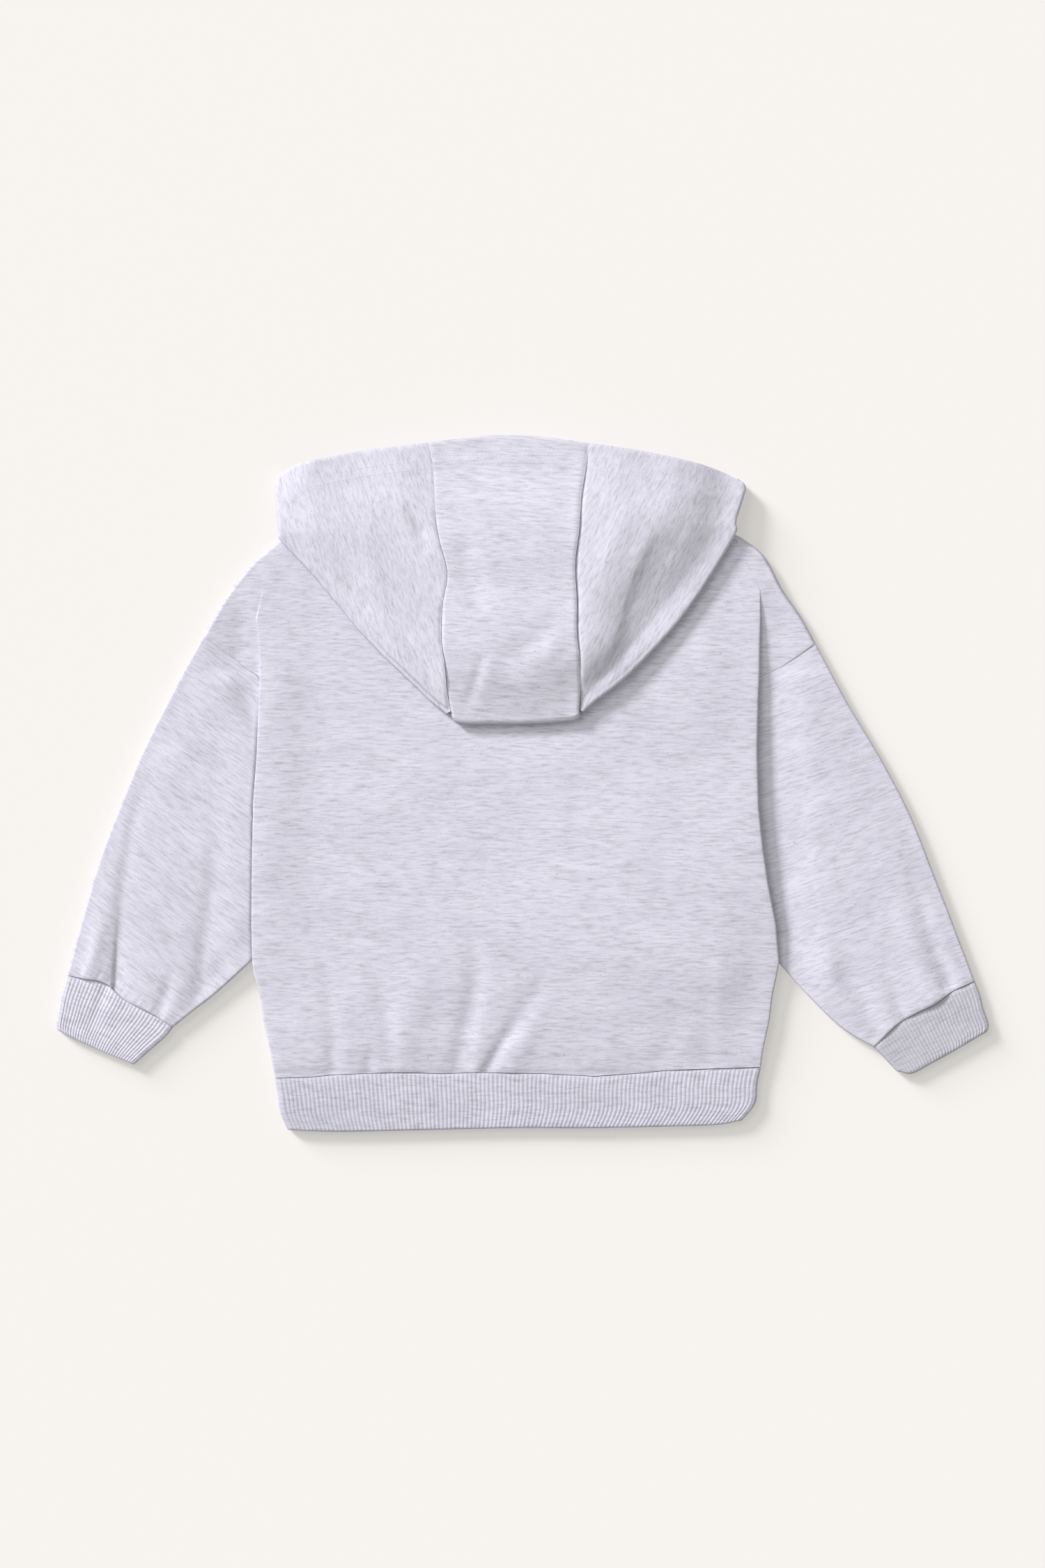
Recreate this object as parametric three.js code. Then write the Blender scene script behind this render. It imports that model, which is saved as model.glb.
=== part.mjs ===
// A toddler's pull-on hoodie in heather sweatshirt fleece, laid flat on its front with its back up.
// The sleeves are drawn down beside the body, so the back laps over them along a fold at each side,
// and the three-piece hood lies open on the back. There are ten cut pieces, 0.3 mm apart at each seam.
// Units are millimetres. +Y points from the hem to the hood, +X to the wearer's right, +Z up.
// The origin is the centre of the area that the garment covers, on the surface that it lies on.
import * as THREE from "three";

// Driving sizes of the cloth
const CLOTH = 2; // thickness of the brushed fleece
const RIB = 2.6; // thickness of the doubled rib
const SEAM = 0.3; // distance between two pieces at a seam
const BODY_LOFT = 5.5; // how much higher the body stands beside its right fold
const BACK_TOP = 7.9; // height of the back's outer face
const SIDE_FOOT = 2.3; // height at which the back's sides meet the front panel
const SLEEVE_FLAT = 3.4; // height of the middle of a sleeve's upper layer, pressed under the back
const SLEEVE_FULL = 6.4; // the same along the sleeve's free length
const RING_ARC = 5; // steps round a folded edge
const HOOD_FOLD = 2.2; // radius of the hood's folded edges, at the middle of the cloth
const HOOD_FULL = 17; // height of the middle of the hood's upper layer over the body
const HOOD_MOUTH = 13; // the same at its opening, beyond the shoulders, where it gapes a little
const HOOD_DOME = 8; // how much higher it stands beside its right seam
const FOOT_FOLD = 2.3; // radius of the fold at the foot of the hood's centre strip
const HOOD_DROP = 44; // distance over which the hood falls from the shoulders to the floor
const HEM_DEPTH = 20; // turned hem at the hood's opening
const HEM_TURN = 0.3; // how far it stands over the cloth beside it
const RIB_LIFT = 0.45; // how far a rib stands over its grooves
const HEM_RIBS = 111;
const CUFF_RIBS = 30;

// The side of the back, from the hem to the shoulder: where its edge is, the height of its outer face,
// the height of its foot, and how far the cloth runs back under itself there.
const RIGHT_SIDE = [
  { y: -203.2, edge: 171.3, top: 6.7, foot: 2.3, leg: 2 },
  { y: -191, edge: 172.8, top: 7.4, foot: 2.3, leg: 2 },
  { y: -171, edge: 177.3, top: 7.8, foot: 2.3, leg: 2 },
  { y: -151, edge: 179.8, top: 8.1, foot: 2.3, leg: 2 },
  { y: -138, edge: 182.6, top: 8.6, foot: 2.3, leg: 2.2 },
  { y: -128, edge: 184.2, top: 9.8, foot: 4.7, leg: 4 },
  { y: -100, edge: 181.8, top: 11.8, foot: 4.7, leg: 6 },
  { y: -72, edge: 176.3, top: 13.2, foot: 4.7, leg: 7 },
  { y: -44, edge: 172.3, top: 13.8, foot: 4.7, leg: 7 },
  { y: -16, edge: 169.4, top: 13.8, foot: 4.7, leg: 7 },
  { y: 25, edge: 168.4, top: 13, foot: 4.7, leg: 7 },
  { y: 60, edge: 169.2, top: 11.8, foot: 4.7, leg: 7 },
  { y: 74.7, edge: 169.9, top: 11.2, foot: 4.7, leg: 7 },
  { y: 75.4, edge: 170, top: 11.2, foot: 4.75, leg: 7 },
  { y: 95, edge: 170.2, top: 10, foot: 5.3, leg: 7 },
  { y: 118, edge: 170.8, top: 8.8, foot: 6.2, leg: 6 },
  { y: 139, edge: 170.5, top: 8.1, foot: 7.9, leg: 3 },
  { y: 160, edge: 160, top: 7.9, foot: 7.9, leg: 3 },
  { y: 182, edge: 143, top: 7.9, foot: 7.9, leg: 3 },
];
const LEFT_SIDE = [
  { y: -211.2, edge: 177.8, top: 6.7, foot: 2.3, leg: 2 },
  { y: -191, edge: 181.3, top: 7.4, foot: 2.3, leg: 2 },
  { y: -171, edge: 185.8, top: 7.8, foot: 2.3, leg: 2 },
  { y: -151, edge: 188.8, top: 8.1, foot: 2.3, leg: 2 },
  { y: -136, edge: 193, top: 8.5, foot: 2.3, leg: 2.2 },
  { y: -126, edge: 194, top: 8.9, foot: 4.7, leg: 5 },
  { y: -100, edge: 194.6, top: 9.3, foot: 4.7, leg: 9 },
  { y: -56, edge: 194.2, top: 9.4, foot: 4.7, leg: 9 },
  { y: -13, edge: 193.3, top: 9.4, foot: 4.7, leg: 9 },
  { y: 19.5, edge: 190.8, top: 9.6, foot: 4.7, leg: 9 },
  { y: 60, edge: 189.2, top: 9.8, foot: 4.7, leg: 8 },
  { y: 74.7, edge: 188.7, top: 9.6, foot: 4.7, leg: 6.5 },
  { y: 75.4, edge: 188.6, top: 9.6, foot: 4.75, leg: 6.5 },
  { y: 95, edge: 188.6, top: 9, foot: 5.9, leg: 6 },
  { y: 118, edge: 190.5, top: 8.1, foot: 7.8, leg: 3 },
  { y: 139, edge: 186, top: 7.9, foot: 7.9, leg: 3 },
  { y: 160, edge: 176, top: 7.9, foot: 7.9, leg: 3 },
  { y: 181, edge: 161, top: 7.9, foot: 7.9, leg: 3 },
];

// The outline from each armhole's tip up over the shoulder, x measured outwards from the origin.
const RIGHT_SHOULDER = [[210.4, 101.3], [200.8, 119], [187.3, 139], [176.8, 159], [168.4, 169]];
const LEFT_SHOULDER = [[229.7, 106.3], [222.8, 119], [210.3, 139], [194.3, 159], [182.8, 169]];
const RIGHT_SHOULDER_TOP = [[168.4, 169], [154, 178.6], [143, 182]];
const LEFT_SHOULDER_TOP = [[182.8, 169], [172, 177.5], [161, 181]];
// Shoulder to shoulder over the back of the neck.
const NECK_LINE = [
  [-161, 181], [-140, 188.5], [-112, 198], [-87, 205], [-76, 200], [-60, 195.5], [-9, 193.5],
  [42, 195.5], [58, 200], [69, 205], [94, 198], [122, 189.5], [143, 182],
];
const FRONT_NECK = [
  [-87, 205], [-80, 196], [-64, 182], [-40, 171], [-9, 166], [22, 171], [46, 182], [62, 196], [69, 205],
];

// The armhole seams, from the shoulder's tip to the underarm.
const RIGHT_ARMHOLE = [
  [210.4, 101.3], [201.3, 94.7], [186, 84], [170.2, 75], [161.5, 62], [158, 38], [158, 0], [161, -50],
  [164, -80], [160.6, -101],
];
const LEFT_ARMHOLE = [
  [229.7, 106.3], [218.3, 98], [206.8, 89.5], [198.8, 82.5], [188.7, 75], [181, 55], [179, 15],
  [180.5, -35], [180, -75], [171, -103],
];
// How many points of those tables lie in sight.
const ARMHOLE_SHOWN = { right: 4, left: 5 };

const RIGHT_SLEEVE = {
  sign: 1,
  armhole: RIGHT_ARMHOLE,
  outer: [[210.4, 101.3], [233, 59], [257, 19], [278, -21], [294, -61], [309.5, -101], [324.8, -141.5]],
  inner: [
    [160.6, -101], [168.8, -111], [186.5, -131], [204.3, -151], [224.3, -171], [237.8, -181],
    [252.3, -189],
  ],
  seam: [[324.8, -141.5], [309.3, -148.5], [295.3, -158], [280.3, -165.5], [267.8, -173.5], [252.3, -189]],
  cuffOuter: [[324.8, -141.5], [328.6, -151], [331, -161], [334.75, -172], [333.2, -178]],
  cuffInner: [[252.3, -189], [257, -193.5], [264.8, -201.5], [269.5, -206]],
  cuffEnd: [[333.2, -178], [311.3, -191], [293.3, -201], [279.5, -208], [269.5, -206]],
};
const LEFT_SLEEVE = {
  sign: -1,
  armhole: LEFT_ARMHOLE,
  outer: [
    [229.7, 106.3], [249.8, 69], [270.3, 29], [287.3, -11], [302.8, -51], [314.8, -91],
    [327.3, -137.5],
  ],
  inner: [[171, -103], [178.5, -111], [198.8, -131], [220.8, -151], [233.8, -161], [250.8, -174.5]],
  seam: [[327.3, -137.5], [315.8, -139.5], [299.8, -143], [286.3, -154.5], [269, -163.5], [250.8, -174.5]],
  cuffOuter: [[327.3, -137.5], [331.4, -151], [333.2, -161], [334.75, -171], [333.6, -176.5]],
  cuffInner: [[250.8, -174.5], [255.8, -181], [266, -190], [279, -201.5]],
  cuffEnd: [[333.6, -176.5], [325.8, -181.5], [303.8, -191.3], [279, -201.5]],
};

// The seam over the hem band, and the band's lower edge, from left to right.
const HEM_SEAM = [
  [-177.8, -211.2], [-153.8, -210.5], [-132.3, -208.5], [-87, -207], [-56, -208], [-34, -207], [18, -208],
  [52, -209.8], [85, -207.5], [104, -205.5], [133, -204.5], [171.3, -203.2],
];
const HEM_EDGE = [
  [-168.5, -248.2], [-150, -249.3], [-118, -249.5], [-46, -247.8], [2, -246.9], [49, -247], [109, -245.8],
  [140, -244.6], [157, -241.5],
];
const HEM_LEFT = [[-177.8, -211.2], [-175.6, -224], [-173.8, -236], [-168.5, -248.2]];
const HEM_RIGHT = [[171.3, -203.2], [168.8, -215], [167.2, -229], [157, -241.5]];

// Soft folds of an upper layer. Each lies along its points, which give its height over the cloth beside it.
const BACK_FOLDS = [
  { width: 6, points: [[-136, -206, -1.3], [-136, -190, -1], [-139, -150, -0.5], [-144, -113, 0]] },
  { width: 5, points: [[-111, -207, -1.2], [-110, -188, 0]] },
  { width: 8, points: [[-94, -206, -0.8], [-96, -176, -0.9], [-101, -145, 0]] },
  { width: 13, points: [[-91, -204, 1.2], [-80, -165, 1.6], [-68, -120, 0]] },
  { width: 8, points: [[-47, -206, -1.4], [-41, -176, -2], [-34, -150, -1.7], [-35, -105, 0]] },
  { width: 6, points: [[-26, -206, -1.9], [-12, -182, -1.5], [11, -147, -0.6], [22, -125, 0]] },
  { width: 8, points: [[-8, -204, 1], [2, -180, 0.8], [18, -150, 0]] },
  { width: 10, points: [[100, -198, -0.9], [112, -160, 0]] },
  { width: 9, points: [[132, -198, -0.9], [132, -170, -0.5], [133, -76, 0]] },
];
const LEFT_SLEEVE_FOLDS = [
  { width: 7, points: [
    [-270, 12, 0], [-285, -44, -1.2], [-289, -72, -1.5], [-292, -108, -2], [-294.5, -140, -2.6],
  ] },
  { width: 10, points: [[-253, 3, 0], [-278, -86, 0.8], [-284, -130, 1]] },
  { width: 9, points: [[-223, -30, 0], [-225, -72, -1.3], [-230, -108, -1.6], [-235, -161, -1.7]] },
  { width: 7, points: [[-206, 90, -1], [-192, 50, -0.8], [-194, 20, 0]] },
];
const RIGHT_SLEEVE_FOLDS = [
  { width: 8, points: [[273.7, -44, 0], [290, -102, -1.2], [306.7, -143.5, -2.2]] },
  { width: 9, points: [[226, -120, 0], [232, -138.5, -1.3], [246, -160.5, -1.4], [253, -180, -0.8]] },
];
const HOOD_FOLDS = [
  { width: 8, points: [[-150, 195, 0], [-119, 137, -1], [-97, 121, -1.2], [-69, 85, -0.8], [-60, 70, 0]] },
  { width: 10, points: [[-128, 205, 0], [-112, 170, 0.9], [-84, 96, 0.6], [-70, 80, 0]] },
  { width: 15, points: [
    [130, 208, 0], [116, 180, -1.2], [101, 156, -1.8], [87, 130, -1.8], [70, 104, -1.4], [55, 82, -0.4],
  ] },
  { width: 9, points: [[-48, 178, 0], [-42, 165, -1.2], [-32, 135, -1], [-26, 121, 0]] },
  { width: 8, points: [[22, 118, 0], [9, 101, -1.6], [-11, 90, -1.2], [-22, 84, 0]] },
];

// The hood's side panels: opening, seam with the centre strip and folded edge, x measured outwards, and
// the opening's course on the under side, back to the middle of the front neckline.
const HOOD_LEFT = {
  sign: -1,
  opening: [[67.5, 244.2], [111.3, 239], [138, 234.2], [161.8, 229], [169.2, 225.4], [173.6, 221.2]],
  seam: [
    [67.5, 244.2], [64.3, 229.5], [62.3, 192], [59.3, 173.5], [54.8, 157], [54, 145.5], [57.2, 127],
    [57.8, 103.5], [55.3, 85], [53.8, 66.5], [51.2, 52],
  ],
  fold: [
    [173.6, 221.2], [176.3, 216], [177.2, 209.6], [176.3, 199], [175.1, 185], [174.7, 178.7],
    [172.8, 173.7], [152.3, 152], [133, 129], [111, 103], [79.8, 72.5], [64.5, 57], [55.8, 50.6],
  ],
  under: [[173.6, 221.2], [150, 221], [118, 220], [97, 214], [84, 207], [62, 194], [40, 185], [10, 181]],
};
const HOOD_RIGHT = {
  sign: 1,
  opening: [[47.3, 243.8], [80.3, 239], [104, 234.4], [126.3, 229], [146, 222.2], [155.3, 217.4]],
  seam: [
    [47.3, 243.8], [45.3, 227], [41.8, 204], [40.8, 183], [38.3, 164], [37.8, 150], [38.8, 131.5],
    [38.8, 108.5], [40.8, 89.8], [41.3, 69], [40.6, 53],
  ],
  fold: [
    [155.3, 217.4], [159.4, 214.2], [160.3, 211], [159, 206.4], [156.6, 199], [153.9, 191], [153, 185.4],
    [152.6, 179], [135.9, 150.8], [112.8, 117.5], [77.8, 79.5], [53, 60], [45.4, 52.6],
  ],
  under: [[155.3, 217.4], [132, 219], [100, 218], [79, 212], [66, 206], [44, 194], [22, 185], [-8, 181]],
};
const HOOD_END = [[-67.5, 244.2], [-37, 248], [-15, 249.5], [15, 248.2], [47.3, 243.8]];
const HOOD_FOOT = [[-49.5, 47], [-44, 43.2], [-15, 42.6], [13, 43.2], [36, 45.2], [40.3, 48]];
const UNDER_SEAM = { left: -52, right: 41, top: 188 };

const clamp = (x, a, b) => Math.min(b, Math.max(a, x));
const mix = (a, b, t) => a + (b - a) * t;
const smooth = (a, b, x) => {
  const t = clamp((x - a) / (b - a), 0, 1);
  return t * t * (3 - 2 * t);
};
const mirrorX = (points, sign) => points.map(([x, y]) => [sign * x, y]);

/** A value from a table of rows in rising y. */
function tableAt(table, y, key) {
  let i = 0;
  while (i < table.length - 2 && y > table[i + 1].y) i += 1;
  const t = clamp((y - table[i].y) / (table[i + 1].y - table[i].y), 0, 1);
  return mix(table[i][key], table[i + 1][key], t);
}

/** A smooth curve through points in plan, read by its share of the length. */
function curve(points, tension = 0.5) {
  const places = points.map(([x, y]) => new THREE.Vector3(x, y, 0));
  const line = new THREE.CatmullRomCurve3(places, false, "catmullrom", tension);
  line.arcLengthDivisions = 400;
  const at = (t) => {
    const p = line.getPointAt(clamp(t, 0, 1));
    return [p.x, p.y];
  };
  return { at, length: line.getLength() };
}

/** Straight runs from point to point, read by their share of the length. */
function chain(points) {
  const run = [0];
  for (let i = 1; i < points.length; i += 1) {
    run.push(run[i - 1] + Math.hypot(points[i][0] - points[i - 1][0], points[i][1] - points[i - 1][1]));
  }
  const length = run[run.length - 1];
  const at = (t) => {
    const way = clamp(t, 0, 1) * length;
    let i = 0;
    while (i < points.length - 2 && way > run[i + 1]) i += 1;
    const share = (way - run[i]) / (run[i + 1] - run[i]);
    return [mix(points[i][0], points[i + 1][0], share), mix(points[i][1], points[i + 1][1], share)];
  };
  return { at, length, shares: run.map((way) => way / length) };
}

/** Straight runs between points that are each one step of v apart. */
function ladder(points) {
  const last = points.length - 1;
  return { at: (v) => {
    const i = Math.min(last - 1, Math.floor(clamp(v, 0, 1) * last));
    const share = clamp(v, 0, 1) * last - i;
    return [mix(points[i][0], points[i + 1][0], share), mix(points[i][1], points[i + 1][1], share)];
  } };
}

/** Four-sided patch in plan: low and high run along u, start and end along v. */
function patch(low, high, start, end) {
  const corners = [low.at(0), low.at(1), high.at(0), high.at(1)];
  return (u, v) => [0, 1].map((k) => {
    const ruled = mix(low.at(u)[k], high.at(u)[k], v) + mix(start.at(v)[k], end.at(v)[k], u);
    return ruled - mix(mix(corners[0][k], corners[1][k], u), mix(corners[2][k], corners[3][k], u), v);
  });
}

/** Nearest point of a polyline: distance, and which side the point is on (positive to its left). */
function nearest(points, x, y) {
  let best = { distance: Infinity, side: 1, share: 0, index: 0 };
  for (let i = 0; i + 1 < points.length; i += 1) {
    const [ax, ay] = points[i];
    const dx = points[i + 1][0] - ax;
    const dy = points[i + 1][1] - ay;
    const share = clamp(((x - ax) * dx + (y - ay) * dy) / (dx * dx + dy * dy), 0, 1);
    const distance = Math.hypot(x - ax - dx * share, y - ay - dy * share);
    if (distance < best.distance) {
      best = { distance, side: dx * (y - ay) - dy * (x - ax) >= 0 ? 1 : -1, share, index: i };
    }
  }
  return best;
}

/** Height that a list of soft folds adds at a point. */
function foldHeight(folds, x, y) {
  let height = 0;
  for (const fold of folds) {
    const near = nearest(fold.points, x, y);
    const depth = mix(fold.points[near.index][2], fold.points[near.index + 1][2], near.share);
    height += depth * Math.exp(-((near.distance / fold.width) ** 2));
  }
  return height;
}

/** Shares from 0 to 1 that lie closer together near the given ends, in millimetres from each end. */
function shares(length, startSteps, count, endSteps) {
  const first = startSteps.map((d) => d / length);
  const last = endSteps.map((d) => 1 - d / length).reverse();
  const from = first.length ? first[first.length - 1] : 0;
  const to = last.length ? last[0] : 1;
  const middle = Array.from({ length: count - 1 }, (_, i) => mix(from, to, (i + 1) / count));
  return [...(first.length ? first : [0]), ...middle, ...(last.length ? last : [1])];
}

/** A cloth made of quads between an outer and an inner face, closed along every free edge. */
class Wall {
  constructor() {
    this.outer = [];
    this.inner = [];
    this.middle = [];
    this.quads = [];
    this.known = new Map();
  }

  /** Adds a point, or finds the same one again. outer and inner are [x, y, z]. */
  add(outer, inner) {
    const key = [...outer, ...inner].map((value) => Math.round(value * 500)).join();
    if (!this.known.has(key)) {
      this.known.set(key, this.outer.length);
      this.outer.push(outer);
      this.inner.push(inner);
    }
    return this.known.get(key);
  }

  /** Adds a grid of points and its quads; rows run left to right when seen from outside, and upwards. */
  grid(rows) {
    const index = rows.map((row) => row.map(([outer, inner]) => this.add(outer, inner)));
    for (let j = 0; j + 1 < index.length; j += 1) {
      for (let i = 0; i + 1 < index[j].length; i += 1) {
        this.quads.push([index[j][i], index[j][i + 1], index[j + 1][i + 1], index[j + 1][i]]);
      }
    }
  }

  /** Turns points of the cloth's middle into its two faces, by the thickness at each. */
  thicken(outward, inward) {
    const normals = this.outer.map(() => new THREE.Vector3());
    for (const [a, b, c, d] of this.quads) {
      const p = [a, b, c, d].map((i) => new THREE.Vector3(...this.outer[i]));
      const normal = p[2].clone().sub(p[0]).cross(p[3].clone().sub(p[1]));
      if (normal.length() > 1e-9) normal.normalize();
      for (const i of [a, b, c, d]) normals[i].add(normal);
    }
    const middle = this.outer.map((p) => [...p]);
    this.middle = middle;
    this.outer = middle.map((p, i) => {
      const n = normals[i].normalize();
      const t = outward(p, n);
      return [p[0] + n.x * t, p[1] + n.y * t, p[2] + n.z * t];
    });
    this.inner = middle.map((p, i) => {
      const n = normals[i];
      const t = inward(p, n);
      return [p[0] - n.x * t, p[1] - n.y * t, p[2] - n.z * t];
    });
  }

  geometry() {
    const count = this.outer.length;
    const faces = [];
    const edges = new Map();
    for (const [a, b, c, d] of this.quads) {
      for (const [i, j, k] of [[a, b, c], [a, c, d]]) {
        if (i === j || j === k || i === k) continue;
        faces.push(i, j, k, i + count, k + count, j + count);
      }
      for (const [i, j] of [[a, b], [b, c], [c, d], [d, a]]) {
        if (i !== j) edges.set(`${i},${j}`, [i, j]);
      }
    }
    for (const [i, j] of edges.values()) {
      if (edges.has(`${j},${i}`)) continue;
      faces.push(j, i, i + count, j, i + count, j + count);
    }
    const geometry = new THREE.BufferGeometry();
    const places = [...this.outer, ...this.inner].flat();
    geometry.setAttribute("position", new THREE.Float32BufferAttribute(places, 3));
    geometry.setIndex(faces);
    return geometry;
  }
}

/** How the middle of the body stands up from its left side and its hem towards its right fold. */
function bodyLoft(x, y) {
  return BODY_LOFT * smooth(-190, 110, x) * smooth(-206, -105, y) * (1 - smooth(60, 150, y));
}

/** Height of the back's outer face, without the soft folds near the hem. */
function backTop(x, y) {
  const table = x > 0 ? RIGHT_SIDE : LEFT_SIDE;
  const edge = tableAt(table, y, "edge");
  const side = tableAt(table, y, "top");
  const middle = mix(6.7, BACK_TOP, smooth(-206, -186, y)) + bodyLoft(x, y);
  return mix(side, middle, smooth(10, 45, edge - Math.abs(x)));
}

/** What the soft folds add to it, fading out towards its sides. */
function backFold(x, y) {
  const edge = tableAt(x > 0 ? RIGHT_SIDE : LEFT_SIDE, y, "edge");
  return foldHeight(BACK_FOLDS, x, y) * smooth(SIDE_FOOT, 20, edge - Math.abs(x));
}

/** The back panel, with its folds over the sleeves and both ends of its dropped shoulders. */
function backPanel() {
  const wall = new Wall();
  const leftY = [
    -211.05, -191, -165, -148, -136, -126, -100, -70, -35, 0, 30, 60, 74.7, 75.4, 86, 97, 108, 118, 128, 139,
    151, 163, 173, 178.5, 180.3, 180.9,
  ];
  const rightY = [
    -203.05, -191, -165, -150, -138, -128, -100, -70, -35, 0, 30, 60, 74.7, 75.4, 86, 97, 107, 118, 128, 139,
    151, 163, 174, 179.5, 181.3, 181.9,
  ];
  const last = leftY.length - 1;
  const wingStart = 13;
  const hem = chain(HEM_SEAM.map(([x, y]) => [x, y + SEAM]));
  const top = curve(NECK_LINE.map(([x, y]) => [x, y - 0.1]), 0.3);
  const side = (sign, j) => {
    const y = (sign > 0 ? rightY : leftY)[j];
    const table = sign > 0 ? RIGHT_SIDE : LEFT_SIDE;
    const get = (key) => tableAt(table, y, key);
    return { x: sign * get("edge"), y, top: get("top"), foot: get("foot"), leg: get("leg") };
  };
  const COLUMNS = 18;
  const ROUND = 4;
  const edgeDrop = (x, y, z, foot, reach) => {
    const near = nearest(NECK_LINE, x, y);
    const away = clamp(near.distance / reach, 0, 1);
    const shoulder = smooth(80, 92, Math.abs(x + 9));
    return mix(z, foot + (z - foot) * Math.sqrt(1 - (1 - away) ** 2), shoulder);
  };
  const rows = [];
  for (let j = 0; j <= last; j += 1) {
    const L = side(-1, j);
    const R = side(1, j);
    const v = j / last;
    const place = (u, insetL, insetR) => {
      const x0 = L.x + insetL;
      const x1 = R.x - insetR;
      const share = (mix(x0, x1, u) - L.x) / (R.x - L.x);
      const low = hem.at(share);
      const high = top.at(share);
      const toLow = (1 - smooth(0, 0.2, v)) * (low[1] - mix(leftY[0], rightY[0], share));
      const toHigh = smooth(0.72, 1, v) * (high[1] - mix(leftY[last], rightY[last], share));
      return [mix(x0, x1, u), mix(L.y, R.y, share) + toLow + toHigh];
    };
    const row = [];
    const roundSide = (S, sign) => {
      const points = [];
      const height = S.top - S.foot;
      for (let k = 0; k <= ROUND; k += 1) {
        const angle = (k / ROUND) * Math.PI * 0.5;
        const reach = 2.4 * Math.sin(angle);
        const tuck = k === ROUND ? 0.15 * clamp(height, 0, 2) : 0;
        const x = S.x - sign * (2.4 - reach + tuck);
        const z = S.foot + height * Math.cos(angle);
        const innerX = S.x - sign * (S.leg + 3 * (1 - Math.sin(angle)));
        const innerFoot = j >= wingStart ? S.foot - CLOTH : S.foot;
        const innerZ = innerFoot + (S.top - CLOTH - innerFoot) * Math.cos(angle);
        const outer = [x, S.y, edgeDrop(x, S.y, z, SIDE_FOOT, 3)];
        points.push([outer, [innerX, S.y, edgeDrop(innerX, S.y, innerZ, SIDE_FOOT, 5)]]);
      }
      return points;
    };
    const leftPoints = roundSide(L, -1).reverse();
    const rightPoints = roundSide(R, 1);
    for (let k = 0; k < ROUND; k += 1) row.push(leftPoints[k]);
    for (let i = 0; i <= COLUMNS; i += 1) {
      const u = i / COLUMNS;
      const outer = place(u, 2.4, 2.4);
      const inner = place(u, L.leg + 3, R.leg + 3);
      const raised = backFold(...outer);
      const outerZ = edgeDrop(...outer, backTop(...outer) + raised, SIDE_FOOT, 3);
      const innerZ = edgeDrop(...inner, backTop(...inner) - CLOTH + backFold(...inner), SIDE_FOOT, 5);
      const drawIn = j === last ? smooth(80, 92, Math.abs(inner[0] + 9)) : 0;
      row.push([[...outer, outerZ], [inner[0], inner[1] - 2 * drawIn, innerZ]]);
    }
    for (let k = 1; k <= ROUND; k += 1) row.push(rightPoints[k]);
    rows.push(row);
  }
  wall.grid(rows);

  for (const sign of [-1, 1]) {
    const armhole = mirrorX(sign > 0 ? RIGHT_ARMHOLE : LEFT_ARMHOLE, sign);
    const shown = armhole.slice(0, sign > 0 ? ARMHOLE_SHOWN.right : ARMHOLE_SHOWN.left).reverse();
    const silhouette = mirrorX(sign > 0 ? RIGHT_SHOULDER : LEFT_SHOULDER, sign);
    const crest = mirrorX(sign > 0 ? RIGHT_SHOULDER_TOP : LEFT_SHOULDER_TOP, sign).reverse();
    const inside = rows.slice(wingStart).map((row) => (sign > 0 ? row[row.length - 1] : row[0]));
    const seamLine = curve([...armhole].reverse());
    let joint = 0.3;
    while (seamLine.at(joint)[1] < shown[0][1]) joint += 0.0005;
    const low = { at: (t) => {
      const p = seamLine.at(mix(joint, 1, t));
      const q = seamLine.at(mix(joint, 1, t) - 0.01);
      const length = Math.hypot(p[0] - q[0], p[1] - q[1]);
      const away = SEAM + 0.2;
      return [p[0] - (sign * away * (p[1] - q[1])) / length, p[1] + (sign * away * (p[0] - q[0])) / length];
    } };
    const high = curve(crest);
    const outside = curve(silhouette);
    const depth = inside.length - 1;
    const start = { at: (t) => {
      const k = Math.min(depth - 1, Math.floor(t * depth));
      const a = inside[k][0];
      const b = inside[k + 1][0];
      return [mix(a[0], b[0], t * depth - k), mix(a[1], b[1], t * depth - k)];
    } };
    const place = patch(low, high, start, outside);
    const across = [0, 0.08, 0.3, 0.55, 0.8, 0.93, 0.975, 1];
    const outline = [...silhouette, ...[...crest].reverse().slice(1)];
    const wing = inside.map((first, j) => {
      const v = j / depth;
      return across.map((u, i) => {
        if (i === 0) return first;
        const [x, y] = place(u, v);
        const near = nearest(outline, x, y);
        const seamTop = mix(4.6, 6.2, smooth(0.3, 1, u));
        const full = mix(mix(first[0][2], 7.2, smooth(0, 0.8, u)), seamTop, (1 - smooth(0, 0.5, v)));
        const top = Math.max(full, 4.5);
        const away = clamp(near.distance / 3, 0, 1);
        const rise = Math.sqrt(1 - (1 - away) ** 2);
        const z = SIDE_FOOT + (top - SIDE_FOOT) * rise;
        const centre = place(0.37, 0.47);
        const pull = 2 * (1 - smooth(0, 6, near.distance));
        const length = Math.hypot(centre[0] - x, centre[1] - y);
        const ix = x + ((centre[0] - x) / length) * pull;
        const iy = y + ((centre[1] - y) / length) * pull;
        const innerZ = SIDE_FOOT + Math.max(0, top - CLOTH - SIDE_FOOT) * rise;
        return [[x, y, z], [ix, j === 0 ? y : iy, innerZ]];
      });
    });
    wall.grid(sign > 0 ? wing : wing.map((row) => [...row].reverse()));
  }
  return wall.geometry();
}

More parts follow.
